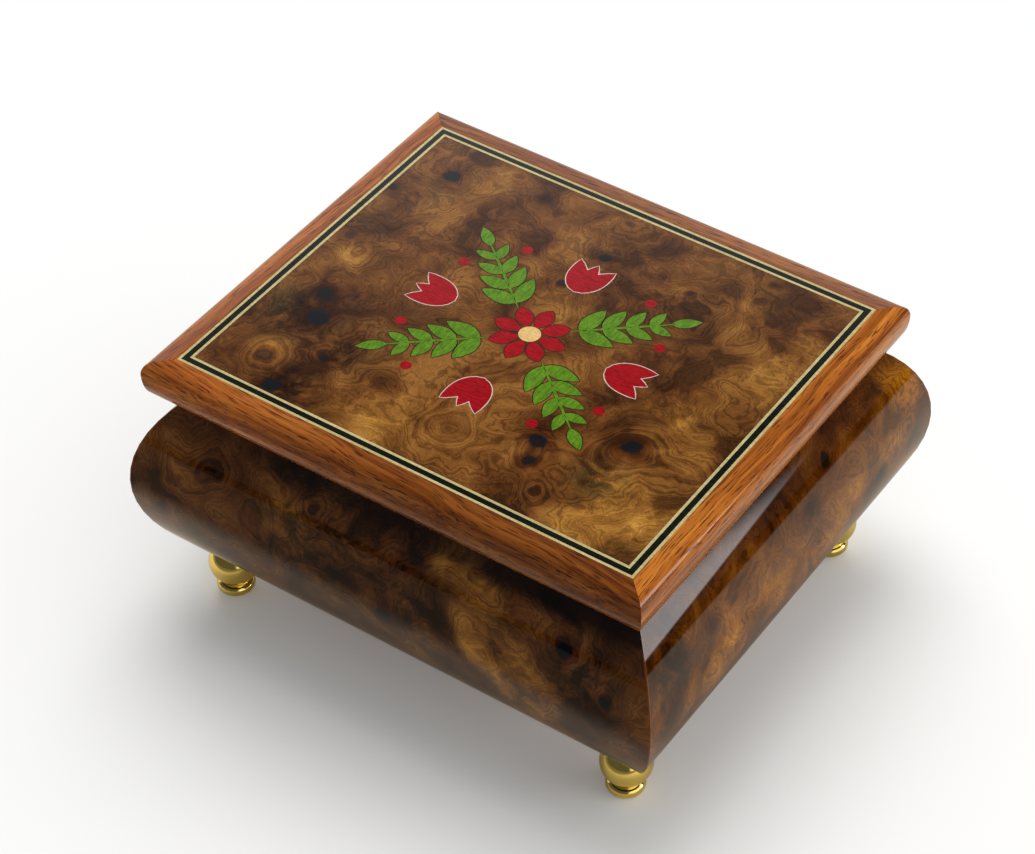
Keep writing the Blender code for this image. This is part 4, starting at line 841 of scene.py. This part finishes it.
def close_mitres(piece, side, middle=0.0):
    """Brings both mitred ends of a side up to the neighbouring sides."""
    for sign in (-1, 1):

        def at_end(vert):
            along, out, half = along_side(side, vert.co, middle)
            return along * sign > 0 and abs(half + out - abs(along)) < MITRE_REACH

        by = [0.0, 0.0, 0.0]
        by[LONG_AXIS[side]] = sign * MITRE_OPENING
        shift(piece, at_end, by)


def round_long_edges(piece, side, width, angle):
    """Rounds the sharp edges that run along a side, and leaves its mitred ends flat."""

    def long_and_sharp(edge):
        if len(edge.link_faces) != 2 or edge.calc_face_angle(0.0) < math.radians(angle):
            return False
        direction = (edge.verts[1].co - edge.verts[0].co).normalized()
        return abs(direction[LONG_AXIS[side]]) > 0.9

    if choose(piece, "EDGE", long_and_sharp):
        bpy.ops.mesh.bevel(offset=width * MM, segments=3, profile=0.5, clamp_overlap=True)
    close_edit()


def make_walls(looks):
    for side in SIDES:
        node = f"{side}_wall"
        wall = drawn_from(node, f"{side}_veneered_wall")
        close_mitres(wall, side)
        round_long_edges(wall, side, 0.5, 30.0)
        settle(wall, "case", looks[f"{side}_burl"], [node], 28.0)


def make_mouldings(looks):
    for side, (sx, sy) in SIDES.items():
        node = f"lid_moulding_{side}"
        edge = drawn_from(node, f"{side}_lid_moulding")
        close_mitres(edge, side, LID_X)
        for end in (-1, 1):

            def inner(vert):
                along, out = along_side(side, vert.co, LID_X)[:2]
                return out < 0.5 and along * end > 0

            by = [-sx * MOULDING_GAP, -sy * MOULDING_GAP, 0.0]
            by[LONG_AXIS[side]] = -end * MOULDING_GAP
            shift(edge, inner, by)
        settle(edge, "lid", looks[f"rosewood_{side}"], [node], 32.0)


def make_stringing(looks):
    """The three lines, brought together until they meet, flush with the lid."""
    for node, name, look, slot, out_by, in_by in (
        ("stringing_outer", "outer_cream_line", "cream", "pale_line", 0.0, -LINE_SHARE),
        ("stringing_black", "black_line_inlay", "ebony", "black_line", LINE_SHARE, LINE_SHARE),
        ("stringing_inner", "inner_cream_line", "cream", "pale_line", -LINE_SHARE, 0.0),
    ):
        line = drawn_from(node, name)
        low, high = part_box(node)
        outer = (high.x - low.x) / 2
        for vert in line.data.vertices:
            across = vert.co.x - LID_X * MM
            is_outer = abs(across) > outer - LINE_REACH * MM
            by = LINE_GAP + out_by if is_outer else -LINE_GAP - in_by
            vert.co.x += math.copysign(1.0, across) * by * MM
            vert.co.y += math.copysign(1.0, vert.co.y) * by * MM
        settle(line, "lid", looks[look], [node])


def make_lid_panel(looks):
    """The veneered panel, a hair below the inlay, and brought up to the stringing."""
    panel = drawn_from("lid_panel", "burl_lid_panel")
    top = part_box("lid_panel")[1].z

    def on_top(vert):
        return vert.co.z > top - 0.01 * MM

    for sx, sy in ((1, 1), (1, -1), (-1, 1), (-1, -1)):

        def corner(vert, sx=sx, sy=sy):
            return on_top(vert) and vert.co.x * sx > 0 and vert.co.y * sy > 0

        shift(panel, corner, (sx * LINE_GAP, sy * LINE_GAP, -PANEL_DROP))
    settle(panel, "lid", looks["lid_burl"], ["lid_panel"])


# The lid's marquetry: a rosette, four tulips and four sprays of leaves


def leaf_outline(base, turn, length, width, pinch=1.0, steps=9):
    """A pointed leaf or petal from its base outwards; the turn is in degrees."""
    sides = ([], [])
    for i in range(steps + 1):
        t = i / steps
        half = width / 2 * math.sin(math.pi * t**pinch) ** 0.85
        if i in (0, steps):
            half = 0.0
        sides[0].append((t * length, half))
        sides[1].append((t * length, -half))
    points = sides[0] + sides[1][-2:0:-1]
    c, s = math.cos(math.radians(turn)), math.sin(math.radians(turn))
    return [(base[0] + x * c - y * s, base[1] + x * s + y * c) for x, y in points]


def grown(outline, by):
    """The outline pushed outwards all round by a distance in millimetres."""
    count = len(outline)
    points = []
    for i in range(count):
        before, here, after = outline[i - 1], outline[i], outline[(i + 1) % count]
        first = Vector((here[0] - before[0], here[1] - before[1])).normalized()
        second = Vector((after[0] - here[0], after[1] - here[1])).normalized()
        normal = Vector((first.y + second.y, -first.x - second.x))
        if normal.length < 0.2:
            normal = first
        normal.normalize()
        points.append((here[0] - normal.x * by, here[1] - normal.y * by))
    return points


def round_outline(centre, radius, steps=20):
    turns = [2 * math.pi * i / steps for i in range(steps)]
    return [(centre[0] + radius * math.cos(t), centre[1] + radius * math.sin(t)) for t in turns]


def polar(radius, turn):
    angle = math.radians(turn)
    return (radius * math.cos(angle), radius * math.sin(angle))


def inlay_set(name, outlines, look, edge_look, edge, level, looks):
    """Sawn pieces of one wood, each on a slightly larger piece that shows as its outline."""
    low, high = LID_TOP - INLAY_FOOT, LID_TOP - INLAY_TOP - level
    outlines = [[(x + LID_X, y) for x, y in outline] for outline in outlines]
    tops = [cut_sheet(name, outline, low, high) for outline in outlines]
    settle(joined(name, tops), "lid", looks[look])
    beds = [cut_sheet(name, grown(outline, edge), low, high - BED_DROP) for outline in outlines]
    settle(joined(f"{name}_outline", beds), "lid", looks[edge_look])


def make_marquetry(looks):
    leaves, stems, berries = [], [], []
    for turn in (40.0, 140.0, 220.0, 320.0):
        stems.append(leaf_outline(polar(9.0, turn), turn, 30.0, 0.9))
        for step, reach in enumerate((12.5, 18.5, 24.5, 30.5)):
            length = 10.5 - 1.3 * step
            for lean in (-42.0, 42.0):
                leaves.append(leaf_outline(polar(reach, turn), turn + lean, length, length * 0.44, 0.85))
        leaves.append(leaf_outline(polar(36.0, turn), turn, 8.0, 3.4, 0.85))
        for lean in (-15.0, 15.0):
            berries.append(round_outline(polar(33.0, turn + lean), 1.5))
    inlay_set("green_leaves", leaves, "green", "scorched", 0.3, 0.014, looks)
    inlay_set("green_stems", stems, "green", "scorched", 0.2, 0.018, looks)
    inlay_set("red_berries", berries, "red", "pale", 0.28, 0.006, looks)

    petals, hearts = [], []
    for turn, reach in ((0.0, 23.0), (90.0, 20.0), (180.0, 23.0), (270.0, 20.0)):
        foot = polar(reach, turn)
        for lean in (-24.0, 24.0):
            petals.append(leaf_outline(foot, turn + lean, 13.0, 5.6, 0.8))
        hearts.append(leaf_outline(foot, turn, 12.0, 5.0, 0.8))
    inlay_set("tulip_side_petals", petals, "red", "pale", 0.26, 0.008, looks)
    inlay_set("tulip_middle_petals", hearts, "red", "pale", 0.26, 0.004, looks)

    rays = [leaf_outline(polar(2.4, turn), turn, 8.2, 4.6, 1.15) for turn in range(0, 360, 45)]
    centre = [round_outline((0.0, 0.0), 2.9, 28)]
    inlay_set("rosette_petals", rays, "red", "scorched", 0.26, 0.006, looks)
    inlay_set("rosette_centre", centre, "yellow", "scorched", 0.22, 0.0, looks)


# Feet, hinges and what holds the box together


# The turned foot, in millimetres: its ball sits on a neck, and the neck on a bead
BALL_RADIUS, BALL_MIDDLE, BALL_TOP = 6.9, 10.2, 15.6
NECK_RADIUS, NECK_HEIGHT = 3.5, 4.25
BEAD_SWELL, BEAD_SHARE = 1.7, 0.86  # how far the bead stands out, and its share of the height
SOLE = [(2.9, 0.0), (3.5, 0.05)]  # (radius, height)
COLLAR_AND_PEG = [(4.0, 15.85), (3.6, 15.98), (1.2, 16.0), (1.2, 19.9), (0.9, 20.0)]


def foot_rings(bead_steps=12, ball_steps=18):
    """The foot's outline: bead, neck and ball, as in the CAD foot but finer."""
    rings = list(SOLE)
    for i in range(bead_steps + 1):
        turn = math.radians(-72 + 144 * i / bead_steps)
        height = NECK_HEIGHT / 2 * (1 + BEAD_SHARE * math.sin(turn))
        rings.append((NECK_RADIUS + BEAD_SWELL * math.cos(turn), height))
    rings.append((NECK_RADIUS - 0.05, NECK_HEIGHT - 0.12))
    low = -math.acos((NECK_RADIUS + 0.1) / BALL_RADIUS)
    high = math.asin((BALL_TOP - BALL_MIDDLE) / BALL_RADIUS)
    for i in range(ball_steps + 1):
        turn = low + (high - low) * i / ball_steps
        rings.append((BALL_RADIUS * math.cos(turn), BALL_MIDDLE + BALL_RADIUS * math.sin(turn)))
    return rings + COLLAR_AND_PEG


def make_feet(looks):
    for corner in ("front_left", "front_right", "rear_left", "rear_right"):
        node = f"foot_{corner}"
        low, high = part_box(node)
        centre = ((low.x + high.x) / 2 / MM, (low.y + high.y) / 2 / MM)
        foot = turned(f"turned_{node}", centre, foot_rings())
        settle(foot, "case", looks["polished_brass"], [node], 50.0)


# What is carried over from the CAD model with finer edges: (body, slot, edge width, nodes)
REFINED = (
    ("case", "polished_brass", 0.12, ("hinge_left_body_leaf", "hinge_right_body_leaf")),
    ("lid", "polished_brass", 0.12, ("hinge_left_lid_leaf", "hinge_right_lid_leaf")),
    ("case", "polished_brass", 0.15, ("hinge_left_pin", "hinge_right_pin")),
    ("case", "plain_wood", 0.3, ("base_board", "divider", "cover_ledge_front", "cover_ledge_back")),
    ("case", "clear_plastic", 0.3, ("movement_cover",)),
    ("case", "cast_zinc", 0.25, ("bedplate",)),
    ("case", "steel", 0.05, ("comb",)),
    ("case", "steel", 0.15, ("comb_screw_1", "comb_screw_2", "mounting_screw_1", "mounting_screw_2")),
    ("cylinder", "gear_brass", 0.04, ("pinned_cylinder", "cylinder_pinion", "cylinder_gear")),
    ("cylinder", "steel", 0.1, ("cylinder_arbor",)),
    ("great_wheel", "gear_brass", 0.06, ("great_wheel",)),
    ("case", "polished_brass", 0.1, ("spring_housing",)),
    ("case", "steel", 0.05, ("mainspring", "stop_pin")),
    ("key", "steel", 0.15, ("winding_arbor",)),
    ("key", "polished_brass", 0.35, ("winding_key",)),
    ("case", "gear_brass", 0.1, ("governor_frame",)),
    ("governor_wheel", "steel", 0.05, ("governor_arbor",)),
    ("governor_wheel", "pale_plastic", 0.05, ("governor_wheel",)),
    ("worm", "steel", 0.0, ("worm",)),
    ("worm", "pale_plastic", 0.06, ("governor_fan",)),
    ("stop_lever", "steel", 0.1, ("stop_lever",)),
    ("start_plunger", "polished_brass", 0.15, ("start_plunger",)),
)


# Screwdriver slots: node, their turns in degrees, length, width and depth, and whether in the top
SLOTTED = {
    "comb_screw_1": ((28.0,), 5.0, 0.5, 0.6, True),
    "comb_screw_2": ((-15.0,), 5.0, 0.5, 0.6, True),
    "mounting_screw_1": ((10.0, 100.0), 3.2, 0.8, 0.7, False),
    "mounting_screw_2": ((52.0, 142.0), 3.2, 0.8, 0.7, False),
}


def saw_slots(piece, node):
    """Cuts a screw's slot, or its cross recess, into the end of its head."""
    turns, length, width, depth, in_top = SLOTTED[node]
    low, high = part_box(node)
    end = high.z if in_top else low.z
    for turn in turns:
        bpy.ops.object.select_all(action="DESELECT")
        bpy.ops.mesh.primitive_cube_add(
            size=MM,
            location=((low.x + high.x) / 2, (low.y + high.y) / 2, end),
            rotation=(0.0, 0.0, math.radians(turn)),
        )
        saw = bpy.context.object
        saw.scale = (length, width, 2 * depth)
        place(saw)
        modify(piece, "BOOLEAN", object=saw, operation="DIFFERENCE", solver="EXACT")
        bpy.data.objects.remove(saw)


def make_refined(looks):
    for body, slot, width, nodes in REFINED:
        for node in nodes:
            piece = drawn_from(node, f"{node}_finished")
            if width:
                soften(piece, width)
            if node in SLOTTED:
                saw_slots(piece, node)
            settle(piece, body, looks.get(node, looks[slot]), [node])
            modify(piece, "WEIGHTED_NORMAL", keep_sharp=True)  # so that flat faces mirror flatly


def make_linings(looks):
    """The velvet tray of the compartment and the velvet pad inside the lid."""
    tray = drawn_from("compartment_lining", "velvet_tray")
    soften(tray, 0.65, 4)
    settle(tray, "case", looks["velvet"], ["compartment_lining"], 60.0)
    pad = drawn_from("lid_lining", "velvet_lid_pad")
    soften(pad, 0.6, 4)
    settle(pad, "lid", looks["velvet"], ["lid_lining"], 60.0)


# Camera, floor and lights


def place_camera():
    azimuth, elevation = CAMERA_AZIMUTH, CAMERA_ELEVATION
    out = math.cos(elevation)
    back = Vector((math.sin(azimuth) * out, -math.cos(azimuth) * out, math.sin(elevation)))
    right = Vector((math.cos(azimuth), math.sin(azimuth), 0.0))
    up = back.cross(right)
    c, s = math.cos(CAMERA_ROLL), math.sin(CAMERA_ROLL)
    right, up = c * right + s * up, c * up - s * right
    lens = bpy.data.cameras.new("photo camera")
    lens.sensor_width = 36.0
    lens.lens = FOCAL_PIXELS / PHOTO_WIDTH * lens.sensor_width
    lens.clip_start = 0.01
    camera = added("photo camera", lens)
    target = Vector((LID_X * MM, 0.0, LID_TOP * MM))
    spot = target + CAMERA_SIDE * right + CAMERA_RISE * up + CAMERA_DISTANCE * back
    camera.matrix_world = Matrix.Translation(spot) @ Matrix((right, up, back)).transposed().to_4x4()
    bpy.context.scene.camera = camera


WHITE = (1.0, 1.0, 1.0, 1.0)


def make_floor():
    """A white floor: shadowed near the box, and plain white further out."""
    bpy.ops.object.select_all(action="DESELECT")
    bpy.ops.mesh.primitive_plane_add(size=12.0, location=(0.0, 0.0, 0.0))
    floor = bpy.context.object
    floor.name = "floor"
    made, tree, shader, where = new_material("white floor")
    tree.nodes.remove(shader)
    path = tree.nodes.new("ShaderNodeLightPath").outputs
    mirror = path["Is Glossy Ray"]
    # Mirrors see the paper with a painted warm tint
    tint = mixed(tree, mirror, (0.87, 0.867, 0.85), (0.85, 0.77, 0.63))
    paper = put(tree, "ShaderNodeBsdfDiffuse", {"Color": tint}).outputs[0]
    away = measured(tree, "LENGTH", where)
    across, depth = axes(tree, where)[:2]

    # Mirrors see the paper with painted shade: dimmed beside the box, towards the camera and past its
    # end
    beside = eased(tree, away, 190.0, 110.0, 0.0, 0.4)
    beside = times(tree, beside, eased(tree, depth, -48.0, -30.0))
    painted_mirror_shade = maths(tree, "MAXIMUM", eased(tree, away, 430.0, 600.0), beside)
    painted_mirror_shade = maths(tree, "MAXIMUM", painted_mirror_shade, eased(tree, depth, -74.0, -114.0, 0.0, 0.8))
    behind = maths(tree, "MULTIPLY_ADD", across, -1.15, depth)
    painted_mirror_shade = maths(tree, "MAXIMUM", times(tree, painted_mirror_shade, eased(tree, behind, 500.0, 200.0)), 0.12)

    # The camera sees the paper near the box, lightened by a tenth of painted white, and plain white
    # further out
    seen = maths(tree, "ADD", path["Is Camera Ray"], path["Is Transmission Ray"], clamp=True)
    share = times(tree, eased(tree, away, 90.0, 225.0, 0.10, 1.0), seen)
    share = maths(tree, "MAXIMUM", share, times(tree, painted_mirror_shade, mirror))
    lit = maths(tree, "SUBTRACT", 1.0, mirror)
    white = put(tree, "ShaderNodeEmission", {"Color": WHITE, "Strength": lit}).outputs[0]
    both = put(tree, "ShaderNodeMixShader", {0: share, 1: paper, 2: white}).outputs[0]

    # From below, the camera sees through the floor
    backfacing = put(tree, "ShaderNodeNewGeometry").outputs["Backfacing"]
    under = times(tree, backfacing, path["Is Camera Ray"])
    clear = tree.nodes.new("ShaderNodeBsdfTransparent").outputs[0]
    shown = put(tree, "ShaderNodeMixShader", {0: under, 1: both, 2: clear}).outputs[0]
    tree.links.new(shown, tree.nodes["Material Output"].inputs[0])
    floor.data.materials.append(made)


LAMP_STRENGTH, WINDOW_STRENGTH = 0.9, 5.0  # as the mirrors see them


def make_world():
    """Soft light from above; mirrors see a pale backdrop, a lamp on the left and a window."""
    world = bpy.data.worlds.new("studio")
    bpy.context.scene.world = world
    world.use_nodes = True
    tree = world.node_tree
    tree.nodes.clear()
    path = tree.nodes.new("ShaderNodeLightPath").outputs
    way = put(tree, "ShaderNodeTexCoord").outputs["Generated"]
    height = axes(tree, way)[2]

    def towards(direction, low, high, to_low=0.0, to_high=1.0):
        """How far the way a ray goes agrees with a direction."""
        return eased(tree, measured(tree, "DOT_PRODUCT", way, direction), low, high, to_low, to_high)

    backdrop = times(
        tree,
        towards((-0.45, 0.89, 0.0), 0.40, 0.60, 0.09),
        eased(tree, height, 0.585, 0.69, 1.0, 0.04),
    )
    window = times(
        tree,
        towards((0.4857, -0.6998, 0.5248), -0.004, 0.010),  # its slanting sill
        towards((0.6691, -0.7431, 0.0), 0.0, 0.066),
        towards((0.98, 0.17, 0.0), 0.50, 0.72),
        eased(tree, height, 0.62, 0.50),
        towards((0.0, 1.0, 0.0), 0.38, 0.52, 0.2),  # its bright end
    )
    lamp = times(tree, towards((-0.95, 0.10, 0.30), 0.90, 0.96), LAMP_STRENGTH)
    room = maths(tree, "ADD", backdrop, lamp)
    room = maths(tree, "MULTIPLY_ADD", window, WINDOW_STRENGTH, room)
    soft = times(tree, path["Is Diffuse Ray"], towards((0.45, 0.55, 0.70), -0.5, 0.8, 0.16, 0.72))
    mirror = maths(tree, "ADD", path["Is Glossy Ray"], path["Is Transmission Ray"], clamp=True)
    strength = maths(tree, "MULTIPLY_ADD", mirror, room, soft)
    strength = maths(tree, "ADD", strength, path["Is Camera Ray"])
    light = put(tree, "ShaderNodeBackground", {"Color": WHITE, "Strength": strength}).outputs[0]
    tree.links.new(light, tree.nodes.new("ShaderNodeOutputWorld").inputs[0])


def soft_light(name, spot, width, height, power):
    """A rectangular soft light that faces the middle of the box; places are in metres."""
    lamp = bpy.data.lights.new(name, "AREA")
    lamp.shape = "RECTANGLE"
    lamp.size, lamp.size_y = width, height
    lamp.energy = power
    made = added(name, lamp)
    made.location = spot
    aim = Vector((0.0, 0.0, 0.05)) - Vector(spot)
    made.rotation_euler = aim.to_track_quat("-Z", "Y").to_euler()
    made.visible_glossy = False


def make_lights():
    soft_light("right softbox", (1.25, 0.42, 0.36), 0.9, 0.40, 5.0)
    soft_light("overhead softbox", (-0.3, 0.4, 1.3), 1.0, 1.0, 13.0)


def main():
    bpy.context.scene.view_settings.view_transform = "Standard"
    place_camera()
    make_floor()
    make_world()
    make_lights()
    looks = make_looks()
    make_walls(looks)
    make_mouldings(looks)
    make_stringing(looks)
    make_lid_panel(looks)
    make_marquetry(looks)
    make_feet(looks)
    make_refined(looks)
    make_linings(looks)


main()
